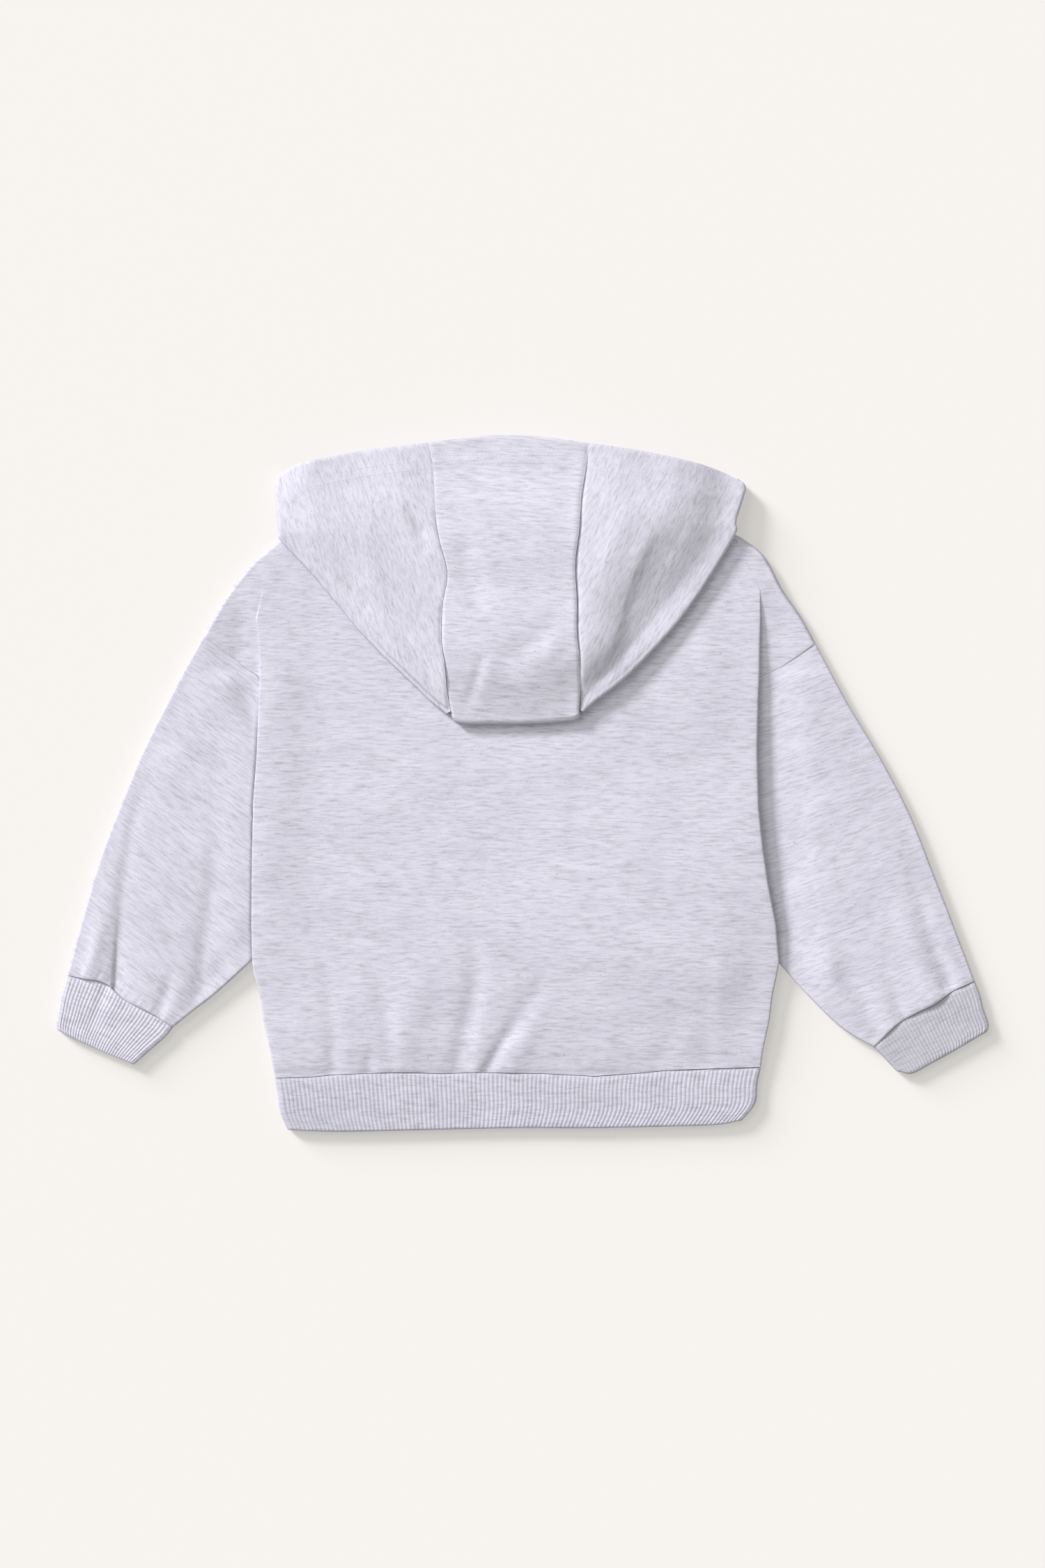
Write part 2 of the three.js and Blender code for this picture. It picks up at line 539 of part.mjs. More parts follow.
/** The front panel: a flat wall that lies on the floor, with rounded edges. */
function frontPanel() {
  const sideRun = (sign) => {
    const armhole = mirrorX(sign > 0 ? RIGHT_ARMHOLE : LEFT_ARMHOLE, sign).reverse();
    const table = sign > 0 ? RIGHT_SIDE : LEFT_SIDE;
    const side = [];
    const under = armhole[0];
    for (const row of table) {
      if (row.y < -140) side.push([sign * row.edge, row.y]);
    }
    side[0][1] += SEAM;
    side.push([sign * (Math.abs(under[0]) + 17), -134], [under[0] - sign * 2.4, under[1] - 5]);
    const mouth = sleeveMouth(sign > 0 ? RIGHT_SLEEVE : LEFT_SLEEVE).map((p, i, all) => {
      const a = all[Math.max(0, i - 1)];
      const b = all[Math.min(all.length - 1, i + 1)];
      const length = Math.hypot(b[0] - a[0], b[1] - a[1]);
      const away = SEAM + 0.15;
      return [p[0] - (sign * away * (b[1] - a[1])) / length, p[1] + (sign * away * (b[0] - a[0])) / length];
    });
    const tip = armhole[armhole.length - 1];
    return [...side, ...mouth, [tip[0] - sign * 0.2, tip[1] + 0.8]];
  };
  const right = sideRun(1);
  const left = sideRun(-1).reverse();
  const topRun = (sign, low, high) => [...mirrorX(low, sign).slice(1), ...mirrorX(high, sign).slice(1)];
  const topRight = topRun(1, RIGHT_SHOULDER, RIGHT_SHOULDER_TOP);
  const topLeft = topRun(-1, LEFT_SHOULDER, LEFT_SHOULDER_TOP).reverse();
  const neckRight = [[122, 189.5], [94, 198]];
  const neckLeft = [[-112, 198], [-140, 188.5]];
  const neck = [...FRONT_NECK].reverse();
  const bottom = HEM_SEAM.slice(1, -1).map(([x, y]) => [x, y + SEAM + 0.05]);
  const top = [...topRight, ...neckRight, ...neck, ...neckLeft, ...topLeft];
  const outline = [...bottom, ...right, ...top, ...left];
  return plate(outline, [[0.5, 0], [0, 0.6], [0, 1.4], [0.5, 2]]);
}

/** A flat wall over an outline that runs anticlockwise. Each ring gives its inset and its height. */
function plate(outline, rings) {
  const count = outline.length;
  const inset = (i, distance) => {
    const before = outline[(i + count - 1) % count];
    const after = outline[(i + 1) % count];
    const dx = after[0] - before[0];
    const dy = after[1] - before[1];
    const length = Math.hypot(dx, dy);
    return [outline[i][0] - (dy / length) * distance, outline[i][1] + (dx / length) * distance];
  };
  const points = rings.flatMap(([distance, z]) => outline.map((_, i) => [...inset(i, distance), z]));
  const faces = [];
  for (let ring = 0; ring + 1 < rings.length; ring += 1) {
    for (let i = 0; i < count; i += 1) {
      const a = ring * count + i;
      const b = ring * count + ((i + 1) % count);
      faces.push(a, b, b + count, a, b + count, a + count);
    }
  }
  const face = (ring) => {
    const places = points.slice(ring * count, ring * count + count);
    return places.map(([x, y]) => new THREE.Vector2(x, y));
  };
  for (const [a, b, c] of THREE.ShapeUtils.triangulateShape(face(0), [])) faces.push(a, c, b);
  const top = (rings.length - 1) * count;
  for (const [a, b, c] of THREE.ShapeUtils.triangulateShape(face(rings.length - 1), [])) {
    faces.push(top + a, top + b, top + c);
  }
  const geometry = new THREE.BufferGeometry();
  geometry.setAttribute("position", new THREE.Float32BufferAttribute(points.flat(), 3));
  geometry.setIndex(faces);
  return geometry;
}

/** A flattened tube. place(u, v) is its plan, u across and v along; high(x, y, u, v) its upper middle. */
function tube({ place, width, rowShares, columns, thickness, high, flip }) {
  const half = thickness / 2;
  const wall = new Wall();
  const rows = rowShares.map((v) => {
    const across = width(v);
    const row = [];
    const top = (u) => high(...place(u, v), u, v);
    const startRadius = (top(0) - half) / 2;
    const endRadius = (top(1) - half) / 2;
    const startShare = (half + startRadius) / across;
    const endShare = 1 - (half + endRadius) / across;
    const push = (u, z) => {
      const point = [...place(u, v), z];
      row.push([point, point]);
    };
    for (let i = 0; i <= columns; i += 1) {
      const u = mix(startShare, endShare, i / columns);
      push(u, top(u));
    }
    for (let k = 1; k < RING_ARC; k += 1) {
      const angle = (k / RING_ARC) * Math.PI;
      push(endShare + (endRadius / across) * Math.sin(angle), half + endRadius * (1 + Math.cos(angle)));
    }
    for (let i = 0; i <= columns; i += 1) push(mix(endShare, startShare, i / columns), half);
    for (let k = RING_ARC - 1; k > 0; k -= 1) {
      const angle = (k / RING_ARC) * Math.PI;
      const u = startShare - (startRadius / across) * Math.sin(angle);
      push(u, half + startRadius * (1 + Math.cos(angle)));
    }
    row.push(row[0]);
    return row;
  });
  wall.grid(flip ? rows.map((row) => [...row].reverse()) : rows);
  wall.thicken(() => half, () => half);
  return wall;
}

/** Shares of a length in even steps, from 0 to 1. */
const evenSteps = (count) => Array.from({ length: count + 1 }, (_, i) => i / count);

/** Keeps a wall's lowest face on the floor. */
function settle(wall) {
  for (const p of [...wall.outer, ...wall.inner]) p[2] = Math.max(0, p[2]);
}

const SLEEVE_COLUMNS = 11;
const SLEEVE_ROWS = shares(250, [SEAM / 2, 9], 12, [SEAM]);

/** The mouth of a sleeve in plan, where its layers start along the armhole, from underarm to shoulder. */
function sleeveMouth(side) {
  const { sign } = side;
  const armhole = curve(mirrorX(side.armhole, sign).reverse());
  const seam = curve(mirrorX(side.seam, sign).reverse());
  const place = patch(armhole, seam, curve(mirrorX(side.inner, sign)), curve(mirrorX(side.outer, sign)));
  const edge = (CLOTH / 2 + (SLEEVE_FLAT - CLOTH / 2) / 2) / armhole.length;
  const steps = evenSteps(SLEEVE_COLUMNS).map((t) => mix(edge, 1 - edge, t));
  return steps.map((u) => place(u, SLEEVE_ROWS[0]));
}

/** A sleeve: a flattened tube from the armhole to the cuff's seam, flatter where the back lies on it. */
function sleeve(side, folds) {
  const { sign } = side;
  const armhole = curve(mirrorX(side.armhole, sign).reverse());
  const seam = curve(mirrorX(side.seam, sign).reverse());
  const place = patch(armhole, seam, curve(mirrorX(side.inner, sign)), curve(mirrorX(side.outer, sign)));
  const table = sign > 0 ? RIGHT_SIDE : LEFT_SIDE;
  const high = (x, y, u, v) => {
    const byFold = smooth(1, 26, Math.abs(x) - tableAt(table, y, "edge"));
    const bySeam = smooth(0, 0.14, v);
    const pressed = mix(byFold, bySeam, smooth(69, 86, y));
    const edge = smooth(0, 0.16, u) * smooth(0, 0.16, 1 - u);
    const full = mix(SLEEVE_FLAT + 0.9, SLEEVE_FULL, 0.35 + 0.65 * edge);
    const tip = 1.1 * smooth(0.87, 1, u) * (1 - pressed);
    return mix(SLEEVE_FLAT, full, pressed) + tip + foldHeight(folds, x, y) * edge * pressed;
  };
  const wall = tube({
    place,
    width: (v) => mix(armhole.length, seam.length, v),
    rowShares: SLEEVE_ROWS,
    columns: SLEEVE_COLUMNS,
    thickness: CLOTH,
    high,
    flip: sign > 0,
  });
  settle(wall);
  return wall.geometry();
}

/** A band of rib knit: a flattened tube with its upper face ribbed and its lower edge rounded. */
function band(sizes) {
  const place = patch(sizes.low, sizes.high, sizes.start, sizes.end);
  const length = sizes.start.length;
  const half = RIB / 2;
  const rowShares = shares(length, [SEAM / 2], 2, [0, 0.9]);
  const wall = new Wall();
  const scale = [];
  const radius = (sizes.top - half) / 2;
  const rows = rowShares.map((v) => {
    const across = mix(sizes.low.length, sizes.high.length, v);
    const edge = (half + radius) / across;
    const from = (1 - v) * length;
    const share = from < 0.5 ? 0.4 : 1;
    const row = [];
    const push = (u, z, rib) => {
      const [x, y] = place(u, v);
      row.push([[x, y, z], [x, y, z]]);
      scale.push({ share, rib });
    };
    const columns = sizes.ribs * 2;
    for (let i = 0; i <= columns; i += 1) {
      const rise = i % 2 === 1 ? RIB_LIFT : 0;
      push(mix(edge, 1 - edge, i / columns), sizes.top, from < 0.5 ? 0 : rise);
    }
    for (let k = 1; k < RING_ARC; k += 1) {
      const angle = (k / RING_ARC) * Math.PI;
      push(1 - edge + (radius / across) * Math.sin(angle), half + radius * (1 + Math.cos(angle)), 0);
    }
    push(1 - edge, half, 0);
    for (const u of [...sizes.under].reverse()) push(u, half, 0);
    push(edge, half, 0);
    for (let k = 1; k < RING_ARC; k += 1) {
      const angle = Math.PI - (k / RING_ARC) * Math.PI;
      push(edge - (radius / across) * Math.sin(angle), half + radius * (1 + Math.cos(angle)), 0);
    }
    row.push(row[0]);
    scale.push(null);
    return row;
  });
  const flat = scale.filter((entry) => entry);
  wall.grid(sizes.flip ? rows.map((row) => [...row].reverse()) : rows);
  const order = new Map();
  let n = 0;
  rows.forEach((row) => row.slice(0, -1).forEach((pair) => {
    order.set(pair[0].map((value) => Math.round(value * 500)).join(), flat[n]);
    n += 1;
  }));
  const find = (p) => order.get(p.map((value) => Math.round(value * 500)).join());
  wall.thicken((p) => half * find(p).share + find(p).rib, (p) => half * find(p).share);
  settle(wall);
  return wall.geometry();
}

/** A cuff, whose upper edge has the chords of the sleeve's end. */
function cuff(side) {
  const { sign } = side;
  const seam = curve(mirrorX(side.seam, sign).reverse());
  const edge = 3 / seam.length;
  const steps = evenSteps(SLEEVE_COLUMNS).map((t) => mix(edge, 1 - edge, t));
  const low = chain([0, ...steps, 1].map((u) => seam.at(u)));
  return band({
    low,
    under: low.shares.slice(2, -2),
    high: curve(mirrorX(side.cuffEnd, sign).reverse()),
    start: curve(mirrorX(side.cuffInner, sign)),
    end: curve(mirrorX(side.cuffOuter, sign)),
    ribs: CUFF_RIBS,
    top: 4.5,
    flip: sign > 0,
  });
}

function hemBand() {
  return band({
    low: chain(HEM_SEAM), high: curve(HEM_EDGE), start: curve(HEM_LEFT), end: curve(HEM_RIGHT),
    ribs: HEM_RIBS, top: 4.9, flip: true, under: chain(HEM_SEAM).shares.slice(1, -1),
  });
}

// Distance beyond the shoulders and the back of the neck, negative over the body.
const BODY_END = [
  ...mirrorX(LEFT_SHOULDER, -1), [-172, 177.5], ...NECK_LINE, [154, 178.6],
  ...mirrorX(RIGHT_SHOULDER, 1).reverse(),
];
function beyond(x, y) {
  const near = nearest(BODY_END, x, y);
  return near.distance * near.side;
}

/** Height of the middle of the hood's under layer. */
function hoodLow(x, y) {
  const body = backTop(x, y) + SEAM + 0.05 + CLOTH / 2;
  return mix(body, CLOTH / 2, smooth(-0.5, HOOD_DROP, beyond(x, y)));
}

/** Radius of the hood's folded edge, fuller where cloth is gathered and at the turned hem. */
function foldRadius(x, y) {
  const gathered = 0.25 * smooth(30, 60, x) * smooth(-150, -90, -y);
  return HOOD_FOLD * (1 + gathered + 0.6 * smooth(0, 36, beyond(x, y)));
}

/** Share of the hood's loft, which it reaches some way up from the fold at its foot. */
function fromFoot(y) {
  return 1 - (1 - clamp((y - 45) / 64, 0, 1)) ** 2;
}

/** Loft of the hood, which stands highest beside its right seam. */
function dome(x, y) {
  const fromRight = nearest(HOOD_RIGHT.fold, x, y).distance;
  const fade = mix(1, 0.5, smooth(150, 250, y));
  const up = smooth(90, 140, y);
  const byFold = smooth(8 * up, mix(36, 54, up), fromRight);
  return HOOD_DOME * smooth(-150, 30, x) * byFold * fromFoot(y) * fade;
}

/** Height of the middle of the hood's upper layer, given the distance from its folded edge. */
function hoodHigh(x, y, fromFold) {
  const away = beyond(x, y);
  const floor = hoodLow(x, y) + 2 * foldRadius(x, y);
  const inner = mix(HOOD_FULL, HOOD_MOUTH, smooth(-14, 46, away)) + bodyLoft(x, y);
  const right = smooth(30, 60, x);
  const lift = smooth(6 * right, 26 + 8 * right, fromFold);
  const soft = foldHeight(HOOD_FOLDS, x, y) * smooth(3, 16, fromFold);
  return mix(floor, Math.max(inner, floor), lift) + dome(x, y) + soft;
}

const HOOD_FLAP_ROWS = 6;
const HOOD_BODY_ROWS = 9;

/** The points of a hood seam, one for each row of the pieces beside it, moved sideways by half the gap. */
function hoodSeam(side, away) {
  const line = curve(side.seam);
  const count = HOOD_FLAP_ROWS + HOOD_BODY_ROWS;
  const points = Array.from({ length: count + 1 }, (_, j) => line.at(j / count));
  return points.map(([x, y]) => [side.sign * (x + away), y]);
}

/** A side panel of the hood: upper layer, folded edge, and the layer that lies on the back and the floor. */
function hoodSide(side) {
  const { sign } = side;
  const fold = curve(mirrorX(side.fold, sign));
  const opening = curve(mirrorX(side.opening, sign));
  const under = curve(mirrorX(side.under, sign));
  const columns = 8;
  const flapRows = HOOD_FLAP_ROWS;
  const bodyRows = HOOD_BODY_ROWS;
  const edge = CLOTH / 2 + HOOD_FOLD;
  // The share of the folded edge at which it leaves the shoulder.
  let leave = 0;
  while (beyond(...fold.at(leave)) > -3.5 && leave < 0.5) leave += 0.002;
  const rowShares = [];
  for (let j = 0; j < flapRows; j += 1) rowShares.push((leave * j) / flapRows);
  for (let j = 0; j <= bodyRows; j += 1) rowShares.push(mix(leave, 1, j / bodyRows));
  const seamPoints = hoodSeam(side, SEAM / 2);
  const seam = { at: (v) => {
    let j = 0;
    while (j < rowShares.length - 2 && v > rowShares[j + 1]) j += 1;
    const share = (v - rowShares[j]) / (rowShares[j + 1] - rowShares[j]);
    return [0, 1].map((k) => mix(seamPoints[j][k], seamPoints[j + 1][k], share));
  } };
  const place = patch(opening, curve([seamPoints.at(-1), fold.at(1)]), seam, fold);
  const wall = new Wall();
  const neckShare = 0.62;
  const underX = sign > 0 ? UNDER_SEAM.right + SEAM / 2 : UNDER_SEAM.left - SEAM / 2;
  const centreOf = (v) => {
    const a = place(0, v);
    const b = place(1, v);
    const width = Math.max(6, Math.hypot(a[0] - b[0], a[1] - b[1]));
    return { u: 1 - edge / width, width };
  };
  // The line over the body at which the under layer starts to fall to the floor.
  const crestLine = (a, b, t) => {
    const x = mix(a[0], b[0], t);
    let y = mix(a[1], b[1], t);
    for (let i = 0; i + 1 < NECK_LINE.length; i += 1) {
      const [x0, y0] = NECK_LINE[i];
      const [x1, y1] = NECK_LINE[i + 1];
      if (x >= x0 && x <= x1) {
        const line = mix(y0, y1, (x - x0) / (x1 - x0)) - 3.6;
        y = mix(y, line, smooth(0, 0.12, t));
      }
    }
    return [x, y];
  };
  const anchor = rowShares.map((v) => place(centreOf(v).u, v));
  const crestEnd = [underX, UNDER_SEAM.top];
  const crest = (t) => crestLine(anchor[flapRows], crestEnd, t);
  const rows = rowShares.map((v, j) => {
    const c = centreOf(v);
    const row = [];
    for (let i = 0; i <= columns; i += 1) {
      const u = mix(0, c.u, i / columns);
      const p = place(u, v);
      row.push([...p, hoodHigh(...p, (1 - u) * c.width - edge)]);
    }
    const [cx, cy] = anchor[j];
    const low = hoodLow(cx, cy);
    const radius = foldRadius(cx, cy);
    row[columns][2] = low + 2 * radius;
    for (let k = 1; k < RING_ARC; k += 1) {
      const angle = (k / RING_ARC) * Math.PI;
      const p = place(c.u + (HOOD_FOLD / c.width) * Math.sin(angle), v);
      row.push([...p, low + radius * (1 + Math.cos(angle))]);
    }
    row.push([cx, cy, low]);
    return row;
  });
  const asPairs = (list) => list.map((row) => row.map((p) => [p, p]));
  const orient = (list) => asPairs(sign > 0 ? list.map((row) => [...row].reverse()) : list);
  wall.grid(orient(rows));
  // Under layer over the back.
  const underColumns = 6;
  const bodyUnder = rowShares.slice(flapRows).map((v, j) => {
    const t = j / bodyRows;
    const seamPoint = [underX, mix(UNDER_SEAM.top, side.fold.at(-1)[1] + 0.5, t)];
    const from = anchor[flapRows + j];
    const row = [];
    for (let i = 0; i <= underColumns; i += 1) {
      const s = i / underColumns;
      const straight = [mix(from[0], seamPoint[0], s), mix(from[1], seamPoint[1], s)];
      const top = crest(s);
      const base = [mix(anchor[flapRows][0], underX, s), mix(anchor[flapRows][1], UNDER_SEAM.top, s)];
      const fade = 1 - smooth(0, 0.35, t);
      const p = [straight[0] + (top[0] - base[0]) * fade, straight[1] + (top[1] - base[1]) * fade];
      row.push([...p, hoodLow(...p)]);
    }
    return row;
  });
  wall.grid(orient(bodyUnder));
  // Under layer beyond the shoulder, down to the floor and on to the opening.
  const shared = Math.round(underColumns * neckShare);
  const flap = rowShares.slice(0, flapRows + 1).map((v, j) => {
    const back = 1 - j / flapRows;
    const row = [];
    for (let i = 0; i <= shared; i += 1) {
      const s = i / underColumns;
      const from = bodyUnder[0][i];
      const share = (i / shared) * neckShare * 0.62;
      const to = under.at(share);
      const straight = [mix(from[0], to[0], back), mix(from[1], to[1], back)];
      const lead = anchor[j];
      const base = [0, 1].map((k) => mix(anchor[flapRows][k], under.at(0)[k], back));
      const fade = 1 - smooth(0, 0.3, s);
      const p = i === 0 ? lead : straight.map((value, k) => value + (lead[k] - base[k]) * fade);
      row.push([...p, hoodLow(...p)]);
    }
    return row;
  });
  for (let i = 0; i <= shared; i += 1) flap[flapRows][i] = bodyUnder[0][i];
  wall.grid(orient(flap));
  const edgeLine = mirrorX(side.opening, sign);
  const hemOf = (p) => (p[2] > 3 && nearest(edgeLine, p[0], p[1]).distance < HEM_DEPTH ? HEM_TURN : 0);
  wall.thicken((p, n) => CLOTH / 2 + (n.z > 0.4 ? hemOf(p) : 0), () => CLOTH / 2);
  settle(wall);
  return wall.geometry();
}

/** The hood's centre strip, from its opening down to the fold at its foot and back up under itself. */
function hoodCentre() {
  const count = HOOD_FLAP_ROWS + HOOD_BODY_ROWS + 1;
  const left = ladder([...hoodSeam(HOOD_LEFT, -SEAM / 2), HOOD_FOOT[0]]);
  const right = ladder([...hoodSeam(HOOD_RIGHT, -SEAM / 2), HOOD_FOOT.at(-1)]);
  const end = curve(HOOD_END);
  const foot = curve(HOOD_FOOT);
  const place = patch(end, foot, left, right);
  const across = 6;
  const wall = new Wall();
  const rows = [];
  const radius = FOOT_FOLD;
  const lastRun = 5 * count;
  const topShares = Array.from({ length: count }, (_, j) => j / count);
  topShares.push(1 - (CLOTH / 2 + radius) / lastRun);
  for (const v of topShares) {
    const row = [];
    for (let i = 0; i <= across; i += 1) {
      const u = i / across;
      const p = place(u, v);
      const z = mix(hoodLow(...p) + 2 * radius, hoodHigh(...p, 100), fromFoot(p[1]));
      row.push([...p, z]);
    }
    rows.push(row);
  }
  for (let k = 1; k < 6; k += 1) {
    const angle = (k / 6) * Math.PI;
    const row = [];
    for (let i = 0; i <= across; i += 1) {
      const v = 1 - (CLOTH / 2 + radius - radius * Math.sin(angle)) / lastRun;
      const p = place(i / across, v);
      const low = hoodLow(...place(i / across, topShares.at(-1)));
      row.push([...p, low + radius * (1 + Math.cos(angle))]);
    }
    rows.push(row);
  }
  const last = topShares.at(-1);
  for (let j = 0; j <= 5; j += 1) {
    const row = [];
    for (let i = 0; i <= across; i += 1) {
      const u = i / across;
      const from = place(u, last);
      const x = mix(UNDER_SEAM.left + SEAM / 2, UNDER_SEAM.right - SEAM / 2, u);
      const p = [mix(from[0], x, smooth(0, 0.3, j / 5)), mix(from[1], UNDER_SEAM.top + 1, j / 5)];
      row.push([...p, hoodLow(...p)]);
    }
    rows.push(row);
  }
  wall.grid(rows.map((row) => [...row].reverse().map((p) => [p, p])));
  wall.thicken((p, n) => {
    const near = nearest(HOOD_END, p[0], p[1]);
    return CLOTH / 2 + (n.z > 0.4 && near.distance < HEM_DEPTH ? HEM_TURN : 0);
  }, () => CLOTH / 2);
  settle(wall);
  return wall.geometry();
}

const cloth = (name, r, g, b) => {
  const color = new THREE.Color(r, g, b);
  return new THREE.MeshStandardMaterial({ name, color, roughness: 1 });
};
const FLEECE = cloth("fleece", 0.68, 0.675, 0.76);
const RIB_KNIT = cloth("rib", 0.6, 0.595, 0.68);

const group = new THREE.Group();
group.name = "toddler_hoodie";

/** Adds a cut piece to the group under its own name. */
function piece(name, geometry, material) {
  geometry.computeVertexNormals();
  const mesh = new THREE.Mesh(geometry, material);
  mesh.name = name;
  group.add(mesh);
}

piece("front_panel", frontPanel(), FLEECE);
piece("back_panel", backPanel(), FLEECE);
piece("sleeve_left", sleeve(LEFT_SLEEVE, LEFT_SLEEVE_FOLDS), FLEECE);
piece("sleeve_right", sleeve(RIGHT_SLEEVE, RIGHT_SLEEVE_FOLDS), FLEECE);
piece("cuff_left", cuff(LEFT_SLEEVE), RIB_KNIT);
piece("cuff_right", cuff(RIGHT_SLEEVE), RIB_KNIT);
piece("hem_band", hemBand(), RIB_KNIT);
piece("hood_left", hoodSide(HOOD_LEFT), FLEECE);
piece("hood_centre", hoodCentre(), FLEECE);
piece("hood_right", hoodSide(HOOD_RIGHT), FLEECE);

export default group;
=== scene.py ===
"""A toddler's pull-on hoodie in heather sweatshirt fleece, laid flat with its back up."""
import math

import bpy
import numpy as np
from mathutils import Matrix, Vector
from mathutils.bvhtree import BVHTree


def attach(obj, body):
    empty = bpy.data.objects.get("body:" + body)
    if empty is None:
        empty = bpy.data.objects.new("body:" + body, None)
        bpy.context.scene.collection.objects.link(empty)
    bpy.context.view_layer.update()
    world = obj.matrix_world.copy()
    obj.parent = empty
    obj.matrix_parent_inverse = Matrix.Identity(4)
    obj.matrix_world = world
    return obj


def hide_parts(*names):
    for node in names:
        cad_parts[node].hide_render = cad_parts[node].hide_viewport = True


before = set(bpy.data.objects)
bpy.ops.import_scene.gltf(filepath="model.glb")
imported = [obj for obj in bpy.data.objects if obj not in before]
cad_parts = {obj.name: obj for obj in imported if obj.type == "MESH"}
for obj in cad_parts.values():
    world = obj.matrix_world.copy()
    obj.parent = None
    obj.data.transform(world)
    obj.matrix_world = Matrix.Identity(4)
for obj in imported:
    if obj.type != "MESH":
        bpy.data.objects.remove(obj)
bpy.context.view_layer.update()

MM = 0.001
TURN = 6.283  # a full turn in radians, for the waves

# Sizes of the cloth in millimetres, as in the solids
CLOTH = 2.0
RIB = 2.6
SEAM = 0.3
CLEAR = SEAM + 0.05  # room between the hood and the back, and at the front's hem
BACK_TOP = 7.9  # height of the back's outer face
BACK_LOW = 6.7  # the same at the hem's seam
BODY_LOFT = 5.5  # how much higher the body stands beside its right fold
SIDE_FOOT = 2.3
EDGE_ROLL = 1.8
SLEEVE_FLAT = 3.4  # height of a sleeve's upper layer where the body presses on it
SLEEVE_FULL = 6.6
TUBE_EDGE = 0.9  # how far a flattened tube's turned edge reaches
CUFF_TOP = 4.5
HEM_TOP = 4.9
HOOD_FOLD = 2.2  # radius of the hood's folded edge
FOOT_FOLD = 2.3
HOOD_FULL = 17.2  # height of the hood's upper layer over the back
HOOD_MOUTH = 13.0
HOOD_DROP = 44.0
HOOD_DOME = 8.0
HEM_DEPTH = 20.5
RIB_LIFT = 0.3
HEM_RIBS = 111
CUFF_RIBS = 30

# The shoulders start at this mark of the back's rows and are so many marks long
WING_MARK, WING_MARKS = 13, 12

# The body's sides: places from the hem up, with the half width, the heights of the folded edge's top and
# foot, and how far the wall's inside stands back from the edge
SIDE_KEYS = ("y", "edge", "top", "foot", "leg")
RIGHT_SIDE = np.array([
    (-203.2, 171.3, 6.7, 2.3, 2), (-191, 172.8, 7.4, 2.3, 2), (-171, 177.3, 7.8, 2.3, 2),
    (-151, 179.8, 8.1, 2.3, 2), (-138, 182.6, 8.6, 2.3, 2.2), (-128, 184.2, 9.8, 4.7, 5),
    (-100, 181.8, 11.8, 4.7, 10), (-72, 176.3, 13.2, 4.7, 11), (-44, 172.3, 13.8, 4.7, 11),
    (-16, 169.4, 13.8, 4.7, 11), (25, 168.4, 13, 4.7, 11), (60, 169.2, 11.8, 4.7, 11),
    (74.7, 169.9, 11.2, 4.7, 9), (75.4, 170, 11.2, 4.75, 9), (95, 170.2, 10, 5.3, 8),
    (118, 170.8, 8.8, 6.2, 6), (139, 170.5, 8.1, 7.9, 3), (160, 160, 7.9, 7.9, 3), (182, 143, 7.9, 7.9, 3),
])
LEFT_SIDE = np.array([
    (-211.2, 177.8, 6.7, 2.3, 2), (-191, 181.3, 7.4, 2.3, 2), (-171, 185.8, 7.8, 2.3, 2),
    (-151, 188.8, 8.1, 2.3, 2), (-136, 193, 8.5, 2.3, 2.2), (-126, 194, 8.9, 4.7, 5),
    (-100, 194.6, 9.3, 4.7, 11), (-56, 194.2, 9.4, 4.7, 13), (-13, 193.3, 9.4, 4.7, 12),
    (19.5, 190.8, 9.6, 4.7, 11), (60, 189.2, 9.8, 4.7, 9), (74.7, 188.7, 9.6, 4.7, 6.5),
    (75.4, 188.6, 9.6, 4.75, 6.5), (95, 188.6, 8.5, 7.0, 6), (118, 190.5, 8.0, 7.9, 3),
    (139, 186, 7.9, 7.9, 3), (160, 176, 7.9, 7.9, 3), (181, 161, 7.9, 7.9, 3),
])

RIGHT_SHOULDER = [(210.4, 101.3), (200.8, 119), (187.3, 139), (176.8, 159), (168.4, 169)]
LEFT_SHOULDER = [(229.7, 106.3), (222.8, 119), (210.3, 139), (194.3, 159), (182.8, 169)]
RIGHT_SHOULDER_TOP = [(168.4, 169), (154, 178.6), (143, 182)]
LEFT_SHOULDER_TOP = [(182.8, 169), (172, 177.5), (161, 181)]
NECK_LINE = [
    (-161, 181), (-140, 188.5), (-112, 198), (-87, 205), (-76, 200), (-60, 195.5), (-9, 193.5),
    (42, 195.5), (58, 200), (69, 205), (94, 198), (122, 189.5), (143, 182),
]
FRONT_NECK = [
    (-87, 205), (-80, 196), (-64, 182), (-40, 171), (-9, 166), (22, 171), (46, 182), (62, 196), (69, 205),
]
RIGHT_ARMHOLE = [
    (210.4, 101.3), (201.3, 94.7), (186, 84), (170.2, 75), (161.5, 62), (158, 38), (158, 0), (161, -50),
    (164, -80), (160.6, -101),
]
LEFT_ARMHOLE = [
    (229.7, 106.3), (218.3, 98), (206.8, 89.5), (198.8, 82.5), (188.7, 75), (181, 55), (179, 15),
    (180.5, -35), (180, -75), (171, -103),
]
